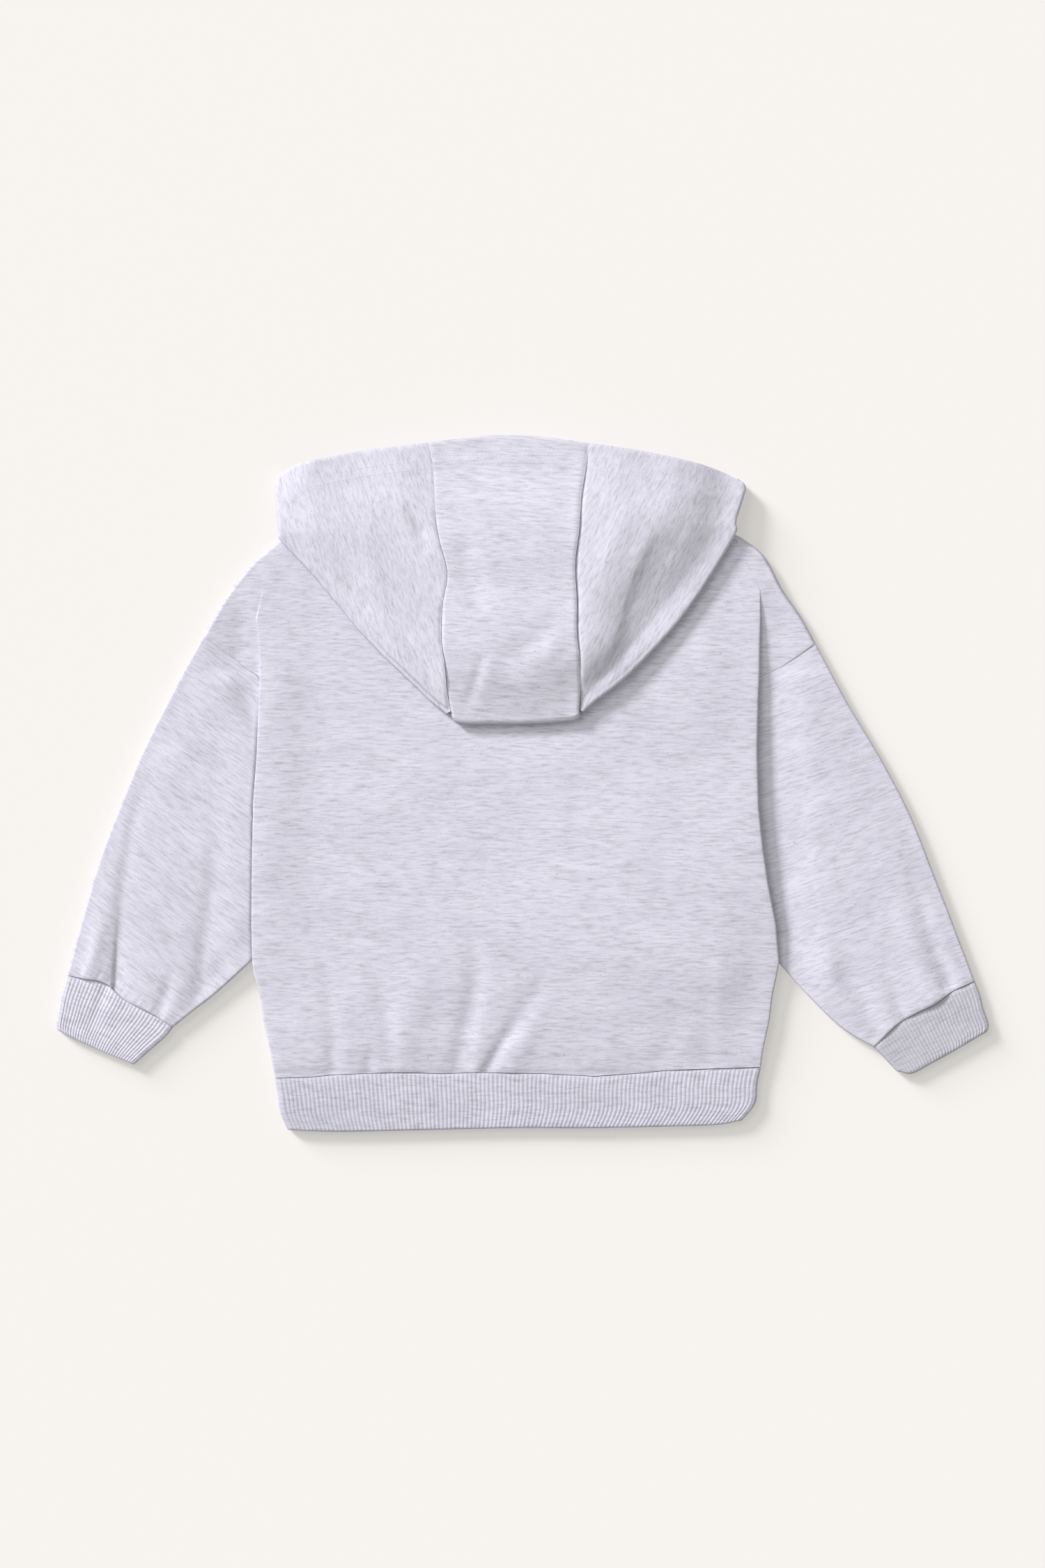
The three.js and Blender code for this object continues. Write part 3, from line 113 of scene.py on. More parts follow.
RIGHT_SLEEVE = dict(
    sign=1, armhole=RIGHT_ARMHOLE, side=RIGHT_SIDE, shoulder=RIGHT_SHOULDER, crest=RIGHT_SHOULDER_TOP,
    outer=[(210.4, 101.3), (233, 59), (257, 19), (278, -21), (294, -61), (309.5, -101), (324.8, -141.5)],
    inner=[(160.6, -101), (168.8, -111), (186.5, -131), (204.3, -151), (224.3, -171), (237.8, -181),
           (252.3, -189)],
    seam=[(324.8, -141.5), (309.3, -148.5), (295.3, -158), (280.3, -165.5), (267.8, -173.5), (252.3, -189)],
    cuff_outer=[(324.8, -141.5), (328.6, -151), (331, -161), (334.75, -172), (333.2, -178)],
    cuff_inner=[(252.3, -189), (257, -193.5), (264.8, -201.5), (269.5, -206)],
    cuff_end=[(333.2, -178), (311.3, -191), (293.3, -201), (279.5, -208), (269.5, -206)],
)
LEFT_SLEEVE = dict(
    sign=-1, armhole=LEFT_ARMHOLE, side=LEFT_SIDE, shoulder=LEFT_SHOULDER, crest=LEFT_SHOULDER_TOP,
    outer=[(229.7, 106.3), (249.8, 69), (270.3, 29), (287.3, -11), (302.8, -51), (314.8, -91),
           (327.3, -137.5)],
    inner=[(171, -103), (178.5, -111), (198.8, -131), (220.8, -151), (233.8, -161), (250.8, -174.5)],
    seam=[(327.3, -137.5), (315.8, -139.5), (299.8, -143), (286.3, -154.5), (269, -163.5), (250.8, -174.5)],
    cuff_outer=[(327.3, -137.5), (331.4, -151), (333.2, -161), (334.75, -171), (333.6, -176.5)],
    cuff_inner=[(250.8, -174.5), (255.8, -181), (266, -190), (279, -201.5)],
    cuff_end=[(333.6, -176.5), (325.8, -181.5), (303.8, -191.3), (279, -201.5)],
)
HEM_SEAM = [
    (-177.8, -211.2), (-153.8, -210.5), (-132.3, -208.5), (-87, -207), (-56, -208), (-34, -207), (18, -208),
    (52, -209.8), (85, -207.5), (104, -205.5), (133, -204.5), (171.3, -203.2),
]
HEM_EDGE = [
    (-168.5, -248.2), (-150, -249.3), (-118, -249.5), (-46, -247.8), (2, -246.9), (49, -247), (109, -245.8),
    (140, -244.6), (157, -241.5),
]
HEM_LEFT = [(-177.8, -211.2), (-175.6, -224), (-173.8, -236), (-168.5, -248.2)]
HEM_RIGHT = [(171.3, -203.2), (168.8, -215), (167.2, -229), (157, -241.5)]

HOOD_LEFT = dict(
    sign=-1,
    opening=[(67.5, 244.2), (111.3, 239), (138, 234.2), (161.8, 229), (169.2, 225.4), (173.6, 221.2)],
    seam=[(67.5, 244.2), (64.3, 229.5), (62.3, 192), (59.3, 173.5), (54.8, 157), (54, 145.5), (57.2, 127),
          (57.8, 103.5), (55.3, 85), (53.8, 66.5), (51.2, 52)],
    fold=[(173.6, 221.2), (176.3, 216), (177.2, 209.6), (176.3, 199), (175.1, 185), (174.7, 178.7),
          (172.8, 173.7), (152.3, 152), (133, 129), (111, 103), (79.8, 72.5), (64, 57.5), (54.6, 50.6)],
    under=[(173.6, 221.2), (150, 221), (118, 220), (97, 214), (84, 207), (62, 194), (40, 185), (10, 181)],
)
HOOD_RIGHT = dict(
    sign=1,
    opening=[(47.3, 243.8), (80.3, 239), (104, 234.4), (126.3, 229), (146, 222.2), (155.3, 217.4)],
    seam=[(47.3, 243.8), (45.3, 227), (41.8, 204), (40.8, 183), (38.3, 164), (37.8, 150), (38.8, 131.5),
          (38.8, 108.5), (40.8, 89.8), (41.3, 69), (40.6, 53)],
    fold=[(155.3, 217.4), (159.4, 214.2), (160.3, 211), (159, 206.4), (156.6, 199), (153.9, 191),
          (153, 185.4), (152.6, 179), (135.9, 150.8), (112.8, 117.5), (77.8, 79.5), (52, 59), (43.4, 51.8)],
    under=[(155.3, 217.4), (132, 219), (100, 218), (79, 212), (66, 206), (44, 194), (22, 185), (-8, 181)],
)
HOOD_END = [(-67.5, 244.2), (-37, 248), (-15, 249.5), (15, 248.2), (47.3, 243.8)]
HOOD_FOOT = [(-49.5, 47), (-44, 43.2), (-15, 42.6), (13, 43.2), (36, 45.2), (40.3, 48)]
UNDER_LEFT, UNDER_RIGHT, UNDER_TOP = -52, 41, 188

# Soft troughs and ridges: half width, then points with the height at each
BACK_FOLDS = [
    (6, [(-136, -206, -1.1), (-136, -190, -0.9), (-139, -150, -0.5), (-144, -113, 0)]),
    (4.5, [(-111, -207, -1.0), (-110, -196, -0.7), (-108, -184, 0)]),
    (6, [(-94, -206, -0.6), (-96, -176, -0.7), (-101, -145, -0.6), (-103, -125, 0)]),
    (13, [(-91, -204, 0.9), (-80, -165, 1.2), (-68, -120, 0)]),
    (7, [(-47, -206, -1.0), (-41, -176, -1.4), (-34, -150, -1.2), (-34, -125, -0.8), (-37, -100, 0)]),
    (7, [(-30, -204, 0.6), (-31, -185, 0.3), (-28, -170, 0)]),
    (4, [(-26, -206, -1.5), (-17, -190, -1.3), (-10, -180, -0.9), (-2, -168, 0)]),
    (7, [(-22, -190, 0), (-7, -176, -0.9), (11, -147, -0.6), (22, -125, 0)]),
    (8, [(-8, -204, 0.8), (2, -180, 0.6), (18, -150, 0)]),
    (9, [(100, -198, -0.6), (105, -180, -0.4), (112, -160, 0)]),
    (8, [(132, -198, -0.6), (132, -170, -0.4), (133, -76, 0)]),
    (12, [(60, -200, 0.4), (62, -170, 0.2), (66, -140, 0)]),
    (16, [(-150, -60, 0), (-120, -30, 0.3), (-70, 5, 0)]),
    (18, [(150, -40, 0), (120, -60, 0.3), (70, -90, 0)]),
    (12, [(140, 60, 0), (120, 20, -0.3), (118, -30, 0)]),
    (12, [(-165, 60, 0), (-150, 20, -0.3), (-150, -30, 0)]),
]
LEFT_SLEEVE["folds"] = [
    (7, [(-270, 12, 0), (-280, -17, -0.3), (-285, -44, -0.4), (-289, -72, -0.5), (-292, -108, -0.5),
         (-294.5, -140, -0.6)]),
    (7, [(-223, -30, 0), (-225, -72, -0.3), (-230, -108, -0.4), (-234, -142, -0.5), (-235, -161, -0.5)]),
    (7, [(-198, 131, 0), (-201, 112, -0.6), (-203, 98, -0.2)]),
    (6, [(-206, 90, -0.8), (-198, 70, -0.9), (-192, 50, -0.6), (-194, 20, 0)]),
    (5, [(-262, -168, -0.8), (-256, -150, -0.6), (-250, -128, 0)]),
    (5, [(-312, -138, 0.5), (-306, -118, 0.5), (-303, -90, 0)]),
]
RIGHT_SLEEVE["folds"] = [
    (7, [(273.7, -44, 0), (290, -102, -0.8), (298.7, -123, -1.1), (306.7, -143.5, -1.6)]),
    (9, [(262, -60, 0), (281, -120, 0.5), (294, -152, 0.7)]),
    (8, [(226, -125, 0), (232, -138.5, -0.9), (246, -160.5, -1.0), (253, -180, -0.5)]),
    (9, [(215, -100, 0), (222, -140, 0.5), (240, -172, 0.3)]),
    (10, [(196, 60, 0), (198, 0, -0.5), (200, -60, -0.5), (206, -110, 0)]),
    (6, [(272, -168, -0.7), (266, -148, -0.5), (258, -128, 0)]),
]
HOOD_FOLDS = [
    # left side panel
    (6, [(-150, 195, 0), (-133, 170, -0.3), (-119, 137, -0.6), (-97, 121, -0.7), (-85, 106, -0.7),
         (-69, 85, -0.5), (-60, 70, 0)]),
    (9, [(-128, 205, 0), (-112, 170, 0.5), (-100, 126, 0.5), (-84, 96, 0.3), (-70, 80, 0)]),
    (5, [(-84, 201, 0), (-78, 191, -0.6), (-72, 181, -1.0), (-70, 172, -0.4), (-69, 164, 0)]),
    (9, [(-161, 214, 0), (-156, 196, -0.5), (-147, 180, -0.3), (-138, 170, 0)]),
    # right side panel
    (15, [(130, 208, 0), (116, 180, -0.6), (101, 156, -0.9), (87, 130, -0.9), (70, 104, -0.6),
          (55, 82, -0.2)]),
    (10, [(84, 205, 0), (72, 187, 0.6), (62, 165, 0.8), (52, 140, 0.6), (46, 118, 0)]),
    # strip
    (9, [(-48, 178, 0), (-42, 165.5, -0.7), (-37.7, 148, -0.8), (-31.8, 134.6, -0.6), (-25.9, 121.4, 0)]),
    (9, [(26, 124, 0), (16, 108, -0.55), (9.4, 100.9, -0.65), (-0.9, 95, -0.6), (-11.2, 89.8, -0.45),
         (-24, 83, 0)]),
    (10, [(34, 128, 0), (26, 110, 0.35), (15, 90, 0.4), (3, 77, 0.25), (-8, 70, 0)]),
    (4.5, [(-26, 95, 0), (-28.9, 87.6, -0.35), (-33.3, 72.9, -0.6), (-37.7, 61.1, -0.65), (-41, 50, -0.4)]),
    (6, [(-20, 92, 0), (-23, 84, 0.2), (-26.5, 72, 0.25), (-31, 57, 0.15)]),
]
# Folds that fall to one side only: half width, reach beyond the line, then points with the drop at each.
# The cloth drops to the left of the way the points run.
HOOD_DROPS = [
    (4, 26, [(97, 184, 0), (93, 174, 0.5), (87, 162, 0.7), (80.6, 146.4, 0.7), (75, 128, 0.7),
             (67, 99.5, 0.9), (57, 82, 0.7), (48, 68, 0.2)]),
]
LEFT_SLEEVE_DROPS = [
    (5, 26, [(-270, 12, 0), (-280, -17, 0.4), (-285, -44, 0.6), (-289, -72, 0.7), (-292, -108, 0.7),
             (-295, -145, 0.7)]),
    (1.3, 12, [(-290, -85, 0), (-292, -108, 0.35), (-294.5, -140, 0.9), (-295, -145, 0.9)]),
    (6, 26, [(-223, -30, 0), (-225, -72, 0.5), (-230, -108, 0.7), (-234, -142, 0.9), (-235, -165, 0.9)]),
]
LEFT_CUFF_FOLDS = [
    (4, [(-297.5, -141, -0.8), (-303, -155, -0.5), (-307, -168, -0.3), (-310, -182, 0)]),
    (5, [(-289, -146, 0.3), (-295, -162, 0.25), (-300, -178, 0)]),
]


def mix(a, b, t):
    return a + (b - a) * t


def smooth(a, b, x):
    t = np.clip((np.asarray(x, float) - a) / (b - a), 0, 1)
    return t * t * (3 - 2 * t)


def fade(distance, reach):
    """1 at a line, falling off softly with the distance from it."""
    return np.exp(-((distance / reach) ** 2))


def units(vectors):
    return vectors / np.linalg.norm(vectors, axis=-1)[..., None]


def mirror(points, sign):
    return [(sign * p[0],) + tuple(p[1:]) for p in points]


def table_at(table, y, key):
    return np.interp(y, table[:, 0], table[:, SIDE_KEYS.index(key)])


class Chain:
    """Straight runs from point to point, read by their share of the length or of the given marks."""

    def __init__(self, points, marks=None):
        self.points = np.array([p[:2] for p in points], float)
        steps = np.hypot(*np.diff(self.points, axis=0).T)
        self.marks = np.concatenate([[0], np.cumsum(steps)]) if marks is None else marks
        self.length = self.marks[-1]

    def at(self, t):
        way = np.clip(t, 0, 1) * self.length
        return np.stack([np.interp(way, self.marks, self.points[:, k]) for k in (0, 1)], -1)


def ladder(points):
    """A chain whose points are each one step apart, whatever their distance."""
    return Chain(points, np.linspace(0, 1, len(points)))


def curve(points, per=50):
    """A smooth curve through points in plan."""
    p = np.array([q[:2] for q in points], float)
    ends = np.vstack([2 * p[0] - p[1], p, 2 * p[-1] - p[-2]])
    t = np.linspace(0, 1, per, endpoint=False)[:, None]
    runs = []
    for i in range(len(p) - 1):
        a, b, c, d = ends[i:i + 4]
        s, e = (c - a) / 2, (d - b) / 2
        runs.append(b + s * t + (3 * (c - b) - 2 * s - e) * t ** 2 + (2 * (b - c) + s + e) * t ** 3)
    return Chain(np.vstack(runs + [p[-1:]]))


def patch(low, high, start, end):
    """Four-sided patch in plan: low and high run along u, start and end along v."""
    corners = [low.at(0.0), low.at(1.0), high.at(0.0), high.at(1.0)]

    def place(u, v):
        u, v = np.broadcast_arrays(np.asarray(u, float), np.asarray(v, float))
        a, b = u[..., None], v[..., None]
        ruled = mix(low.at(u), high.at(u), b) + mix(start.at(v), end.at(v), a)
        return ruled - mix(mix(corners[0], corners[1], a), mix(corners[2], corners[3], a), b)

    return place


def nearest(points, x, y):
    """Distance to a polyline, with the side, segment and share of the nearest point."""
    x, y = np.broadcast_arrays(np.asarray(x, float), np.asarray(y, float))
    p = np.array([q[:2] for q in points], float)
    best = np.full(x.shape, 1e9)
    side = np.ones(x.shape)
    index = np.zeros(x.shape, int)
    share = np.zeros(x.shape)
    for i in range(len(p) - 1):
        dx, dy = p[i + 1] - p[i]
        s = np.clip(((x - p[i, 0]) * dx + (y - p[i, 1]) * dy) / (dx * dx + dy * dy), 0, 1)
        d = np.hypot(x - p[i, 0] - dx * s, y - p[i, 1] - dy * s)
        near = d < best
        best = np.where(near, d, best)
        side = np.where(near, np.where(dx * (y - p[i, 1]) - dy * (x - p[i, 0]) >= 0, 1, -1), side)
        index = np.where(near, i, index)
        share = np.where(near, s, share)
    return best, side, index, share


def beside(points, x, y):
    """Distance to a fold's line, less than 0 on its right, with the fold's height at the nearest point."""
    d, side, index, share = nearest(points, x, y)
    height = np.array([p[2] for p in points], float)
    return d * side, mix(height[index], height[index + 1], share)


def fold_height(folds, x, y):
    """Troughs and ridges that fall off to both sides of their lines."""
    total = np.zeros(np.broadcast(x, y).shape)
    for width, points in folds:
        away, height = beside(points, x, y)
        total += height * fade(away, width)
    return total


def drop_height(drops, x, y):
    """Folds that fall to one side only and come back up within their reach."""
    total = np.zeros(np.broadcast(x, y).shape)
    for width, reach, points in drops:
        away, depth = beside(points, x, y)
        total -= depth * smooth(-width, width, away) * fade(np.maximum(away, 0), reach)
    return total


def waves(x, y, seed, size):
    """Gentle unevenness of cloth, from a few crossed sine waves."""
    rng = np.random.default_rng(seed)
    total = 0
    for _ in range(7):
        angle, phase = rng.uniform(0, math.pi), rng.uniform(0, 6.28)
        length = size * rng.uniform(0.7, 1.6)
        total = total + np.sin((x * math.cos(angle) + y * math.sin(angle)) * TURN / length + phase)
    return total / 7


def steps(length, start, count, end):
    """Shares from 0 to 1 with given distances from both ends, and even ones between."""
    first, last = [d / length for d in start], [1 - d / length for d in end][::-1]
    return np.array(first[:-1] + list(np.linspace(first[-1], last[0], count + 1)) + last[1:])


def add(name, data):
    """A new object of the scene that holds the given data."""
    obj = bpy.data.objects.new(name, data)
    bpy.context.scene.collection.objects.link(obj)
    return obj


def piece(name, vertices, faces, material, sharp=None):
    """A piece of the garment, smooth apart from the edges over the sharp angle."""
    mesh = bpy.data.meshes.new(name)
    mesh.from_pydata(vertices, [], faces)
    mesh.validate()
    mesh.shade_smooth()
    if sharp:
        mesh.set_sharp_from_angle(angle=math.radians(sharp))
    mesh.materials.append(material)
    obj = add(name, mesh)
    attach(obj, "root")
    return obj


class Wall:
    """Cloth made of quads between an outer and an inner face, closed along every free edge."""

    def __init__(self):
        self.points, self.quads, self.count = [], [], 0

    def grid(self, points, turn=False):
        """points is rows by columns by values; the first three values are the place."""
        points = points[:, ::-1] if turn else points
        rows, columns = points.shape[:2]
        index = self.count + np.arange(rows * columns).reshape(rows, columns)
        a, b, c, d = index[:-1, :-1], index[:-1, 1:], index[1:, 1:], index[1:, :-1]
        self.quads.append(np.stack([a, b, c, d], -1).reshape(-1, 4))
        self.points.append(points.reshape(rows * columns, -1))
        self.count += rows * columns

    def weld(self):
        points, quads = np.vstack(self.points), np.vstack(self.quads)
        _, first, back = np.unique(np.round(points[:, :6] * 500).astype(np.int64), axis=0, return_index=True,
                                   return_inverse=True)
        self.flat, self.faces = points[first], back.reshape(-1)[quads]

    def thicken(self, outward, inward):
        """Moves the middle of the cloth out to its two faces."""
        middle, q = self.flat[:, :3], self.faces
        cross = np.cross(middle[q[:, 2]] - middle[q[:, 0]], middle[q[:, 3]] - middle[q[:, 1]])
        cross /= np.maximum(np.linalg.norm(cross, axis=1), 1e-12)[:, None]
        normal = np.zeros_like(middle)
        for k in range(4):
            np.add.at(normal, q[:, k], cross)
        normal /= np.maximum(np.linalg.norm(normal, axis=1), 1e-12)[:, None]
        return middle + normal * outward(self.flat, normal)[:, None], \
            middle - normal * inward(self.flat, normal)[:, None]

    def build(self, name, outer, inner, material):
        """Makes the Blender object from the two faces and the rims between them."""
        q, count = self.faces, len(outer)
        good = (q[:, 0] != q[:, 2]) & (q[:, 1] != q[:, 3])
        q = q[good]
        edges = np.vstack([q[:, [0, 1]], q[:, [1, 2]], q[:, [2, 3]], q[:, [3, 0]]])
        edges = edges[edges[:, 0] != edges[:, 1]]
        forward, backward = edges[:, 0] * count + edges[:, 1], edges[:, 1] * count + edges[:, 0]
        free = edges[~np.isin(forward, backward)]
        rim = np.stack([free[:, 1], free[:, 0], free[:, 0] + count, free[:, 1] + count], -1)
        faces = np.vstack([q, q[:, ::-1] + count, rim])
        vertices = np.vstack([outer, inner]) * MM
        vertices[:, 2] = np.maximum(vertices[:, 2], 0)
        listed = [list(dict.fromkeys(f)) for f in faces.tolist()]
        obj = piece(name, vertices.tolist(), [f for f in listed if len(f) > 2], material, 50)
        return obj

    def fleece(self, name, material, upper):
        """The wall of a fleece piece, with its relief on faces that upper picks by their normal's height."""
        self.weld()
        half = CLOTH / 2
        outer, inner = self.thicken(lambda f, n: half + f[:, 6] * upper(n[:, 2]),
                                    lambda f, n: np.full(len(f), half))
        return self.build(name, outer, inner, material)


def turned(angle, square=0.6):
    """Sideways and upward shares round a folded edge, a little squarer than a circle."""
    sine, cosine = np.sin(angle), np.cos(angle)
    return np.abs(sine) ** square * np.sign(sine), np.abs(cosine) ** square * np.sign(cosine)


def by_side(x, y, key):
    return np.where(np.asarray(x) > 0, table_at(RIGHT_SIDE, y, key), table_at(LEFT_SIDE, y, key))


def body_loft(x, y):
    """How the middle of the body stands up from its left side and its hem towards its right fold."""
    return BODY_LOFT * smooth(-190, 110, x) * smooth(-206, -105, y) * (1 - smooth(60, 150, y))


def back_top(x, y):
    """Height of the back's outer face, without its finer relief."""
    middle = mix(BACK_LOW, BACK_TOP, smooth(-206, -186, y)) + body_loft(x, y)
    return mix(by_side(x, y, "top"), middle, smooth(10, 45, by_side(x, y, "edge") - np.abs(x)))


def puckers(along, away, size=9.0):
    """Small gathers that run out from a seam."""
    ripple = np.sin(along * TURN / size) + 0.6 * np.sin(along * TURN / (size * 0.63) + 1.3)
    return ripple * np.exp(-away / 5.0)


def back_relief(x, y):
    """The back's soft folds, its edge over a sleeve, and the gathers and hollow at the hem's seam."""
    room = by_side(x, y, "edge") - np.abs(x)
    height = 1.15 * fold_height(BACK_FOLDS, x, y) * smooth(2, 16, room)
    fold = np.clip((by_side(x, y, "top") - by_side(x, y, "foot")) / 4.2, 0, 1)
    height -= 0.5 * fold * np.exp(-np.clip(room, 0, 99) / 5)
    away = y + 207
    height += 0.16 * puckers(x, np.clip(away, 0, 60)) * smooth(0.5, 3, away)
    height += 0.16 * waves(x, y, 3, 55) * smooth(4, 30, room)
    return height - 0.75 * fade(np.clip(away, 0, 99), 1.6)


def rounded(z, away):
    """Rolls the height z down to the foot at an edge, away being 0 there and 1 where the roll ends."""
    return SIDE_FOOT + (z - SIDE_FOOT) * np.sqrt(1 - (1 - away) ** 2)


def shoulder(sign, part, inside, marks):
    """The back's shoulder, from the body's side, given by the points inside, out to the armhole's seam."""
    line = curve(mirror(part["armhole"], sign)[::-1])
    fine = np.linspace(0.3, 1, 1401)
    joint = fine[np.argmax(line.at(fine)[:, 1] >= 75)]
    t = np.linspace(joint, 1, 60)
    p = line.at(t)
    d = units(p - line.at(t - 0.01))
    gap = 0.02
    low = ladder(np.stack([p[:, 0] - sign * gap * d[:, 1], p[:, 1] + sign * gap * d[:, 0]], -1))
    outer, crest = mirror(part["shoulder"], sign), mirror(part["crest"], sign)
    spot = patch(low, curve(crest[::-1]), Chain(inside[:, :2], marks), curve(outer))
    across = np.concatenate([np.linspace(0, 0.9, 34), [0.925, 0.945, 0.96, 0.972, 0.982, 0.99, 0.996, 1]])
    u, v = np.meshgrid(across, marks)
    xy = spot(u, v)
    x, y = xy[..., 0], xy[..., 1]
    from_edge = nearest(curve(outer + crest[1:]).points[::6], x, y)[0]
    seam_top = mix(4.6, 6.2, smooth(0.3, 1, u))
    high = mix(mix(inside[:, 2][:, None], 7.2, smooth(0, 0.8, u)), seam_top, 1 - smooth(0, 0.5, v))
    cloth = np.maximum(high, 4.5)
    folds = fold_height(part["folds"], x, y) * smooth(0, 0.2, u)
    bevel = (-0.18 if sign > 0 else -0.5) * fade(nearest(low.points, x, y)[0], 1.0) * smooth(0.02, 0.1, u)
    away = np.clip(from_edge / 3, 0, 1)
    z = rounded(cloth + folds + bevel, away)
    pull = (2 * (1 - smooth(0, 6, from_edge)))[..., None]
    inner = xy + units(spot(0.37, 0.47) - xy) * pull
    inner[0, :, 1] = y[0]
    inner_z = SIDE_FOOT + np.maximum(0, cloth - CLOTH - SIDE_FOOT) * np.sqrt(1 - (1 - away) ** 2)
    wing = np.concatenate([xy, z[..., None], inner, inner_z[..., None]], -1)
    wing[:, 0] = inside
    return wing


def back_panel(material):
    """The back with its turned sides, and the two shoulders that reach out to the armholes."""
    wall = Wall()
    left_y = [-210.9, -191, -165, -148, -136, -126, -100, -70, -35, 0, 30, 60, 74.7, 75.4, 86, 97, 108, 118,
              128, 139, 151, 163, 173, 178.5, 180.3, 180.9]
    right_y = [-202.9, -191, -165, -150, -138, -128, -100, -70, -35, 0, 30, 60, 74.7, 75.4, 86, 97, 107, 118,
               128, 139, 151, 163, 174, 179.5, 181.3, 181.9]
    per = [10, 10, 7, 6, 6, 10, 9, 9, 9, 8, 8, 6, 1, 4, 4, 4, 4, 4, 4, 4, 4, 4, 4, 4, 3]
    runs = [np.linspace(i, i + 1, n, endpoint=False) for i, n in enumerate(per)]
    marks = np.concatenate(runs + [[len(per)]])
    wing_start = sum(per[:WING_MARK])
    ly, ry = (np.interp(marks, np.arange(len(y)), y) for y in (left_y, right_y))
    share = marks / len(per)
    hem = Chain([(x, y + SEAM) for x, y in HEM_SEAM])
    top = curve([(x, y - 0.1) for x, y in NECK_LINE])
    get = {s: {k: table_at(t, y, k) for k in SIDE_KEYS[1:]}
           for s, t, y in ((-1, LEFT_SIDE, ly), (1, RIGHT_SIDE, ry))}
    lx, rx = -get[-1]["edge"], get[1]["edge"]

    def edge_drop(x, y, z, reach):
        away = np.clip(nearest(NECK_LINE, x, y)[0] / reach, 0, 1)
        return mix(z, rounded(z, away), smooth(80, 92, np.abs(x + 9)))

    def place(u, inset_l, inset_r):
        x0, x1 = (lx + inset_l)[:, None], (rx - inset_r)[:, None]
        x = mix(x0, x1, u[None])
        t = (x - lx[:, None]) / (rx - lx)[:, None]
        low, high = hem.at(t)[..., 1], top.at(t)[..., 1]
        y = mix(ly[:, None], ry[:, None], t)
        y = y + (1 - smooth(0, 0.2, share))[:, None] * (low - mix(left_y[0], right_y[0], t))
        y = y + smooth(0.72, 1, share)[:, None] * (high - mix(left_y[-1], right_y[-1], t))
        return x, y

    columns, around = 150, 10
    u = np.linspace(0, 1, columns + 1)
    flat = np.full(len(ly), EDGE_ROLL)
    ox, oy = place(u, flat, flat)
    ix, iy = place(u, get[-1]["leg"] + 3, get[1]["leg"] + 3)
    oz = edge_drop(ox, oy, back_top(ox, oy) + back_relief(ox, oy), 3)
    iz = edge_drop(ix, iy, back_top(ix, iy) - CLOTH + back_relief(ix, iy), 5)
    iy = iy - 2 * smooth(80, 92, np.abs(ix + 9)) * (marks == len(per))[:, None]
    main = np.stack([ox, oy, oz, ix, iy, iz], -1)

    def side(sign):
        g, y = get[sign], (ly if sign < 0 else ry)[:, None]
        angle = np.linspace(0, 1, around + 1)[None] * math.pi * 0.5
        edge, high, foot, leg = (g[k][:, None] for k in ("edge", "top", "foot", "leg"))
        height = high - foot
        lap = smooth(-140, -126, y) * smooth(0.0, 2.0, height)
        # Over a sleeve the edge bulges and tucks under; elsewhere it runs down to the front panel
        over = mix(angle, angle * 1.65, lap)
        half = mix(height, height / 2, lap)
        out, up = turned(over, 0.6 if sign > 0 else 0.35)
        x = edge - EDGE_ROLL + EDGE_ROLL * out
        z = np.where(lap > 0, foot + height - half + half * up, foot + height * turned(angle)[1])
        z = np.where(angle >= angle.max() - 1e-9, foot, z)
        relief = back_relief(sign * x, y + 0 * x) * np.cos(angle)
        inner_foot = np.where(np.arange(len(y))[:, None] >= wing_start, foot - CLOTH, foot)
        inner_x = edge - (leg + 3 * (1 - np.sin(angle)))
        inner_z = inner_foot + (high - CLOTH - inner_foot) * np.cos(angle)
        yy = y + 0 * angle
        return np.stack([sign * x, yy, edge_drop(sign * x, yy, z + relief, 3),
                         sign * inner_x, yy, edge_drop(sign * inner_x, yy, inner_z, 5)], -1)

    right, left = side(1), side(-1)[:, ::-1]
    rows = np.concatenate([left[:, :-1], main, right[:, 1:]], 1)
    wall.grid(rows)
    for sign, edge, part in ((-1, 0, LEFT_SLEEVE), (1, -1, RIGHT_SLEEVE)):
        wing = shoulder(sign, part, rows[wing_start:, edge], (marks[wing_start:] - WING_MARK) / WING_MARKS)
        wall.grid(wing, turn=sign < 0)
    wall.weld()
    return wall.build("back", wall.flat[:, :3], wall.flat[:, 3:6], material)


def plate(outline, rings):
    """A flat wall over an outline that runs anticlockwise, with rings of (inset, height) at its edge."""
    p = np.array(outline, float)
    d = units(np.roll(p, -1, 0) - np.roll(p, 1, 0))
    inward = np.stack([-d[:, 1], d[:, 0]], -1)
    count = len(p)
    vertices = np.vstack([np.column_stack([p + inward * inset, np.full(count, z)]) for inset, z in rings])
    faces = []
    for ring in range(len(rings) - 1):
        for i in range(count):
            a, b = ring * count + i, ring * count + (i + 1) % count
            faces.append([a, b, b + count, a + count])
    faces.append(list(range(count))[::-1])
    faces.append(list(range((len(rings) - 1) * count, len(rings) * count)))
    return vertices, faces


def listed(points):
    return [tuple(p) for p in points]


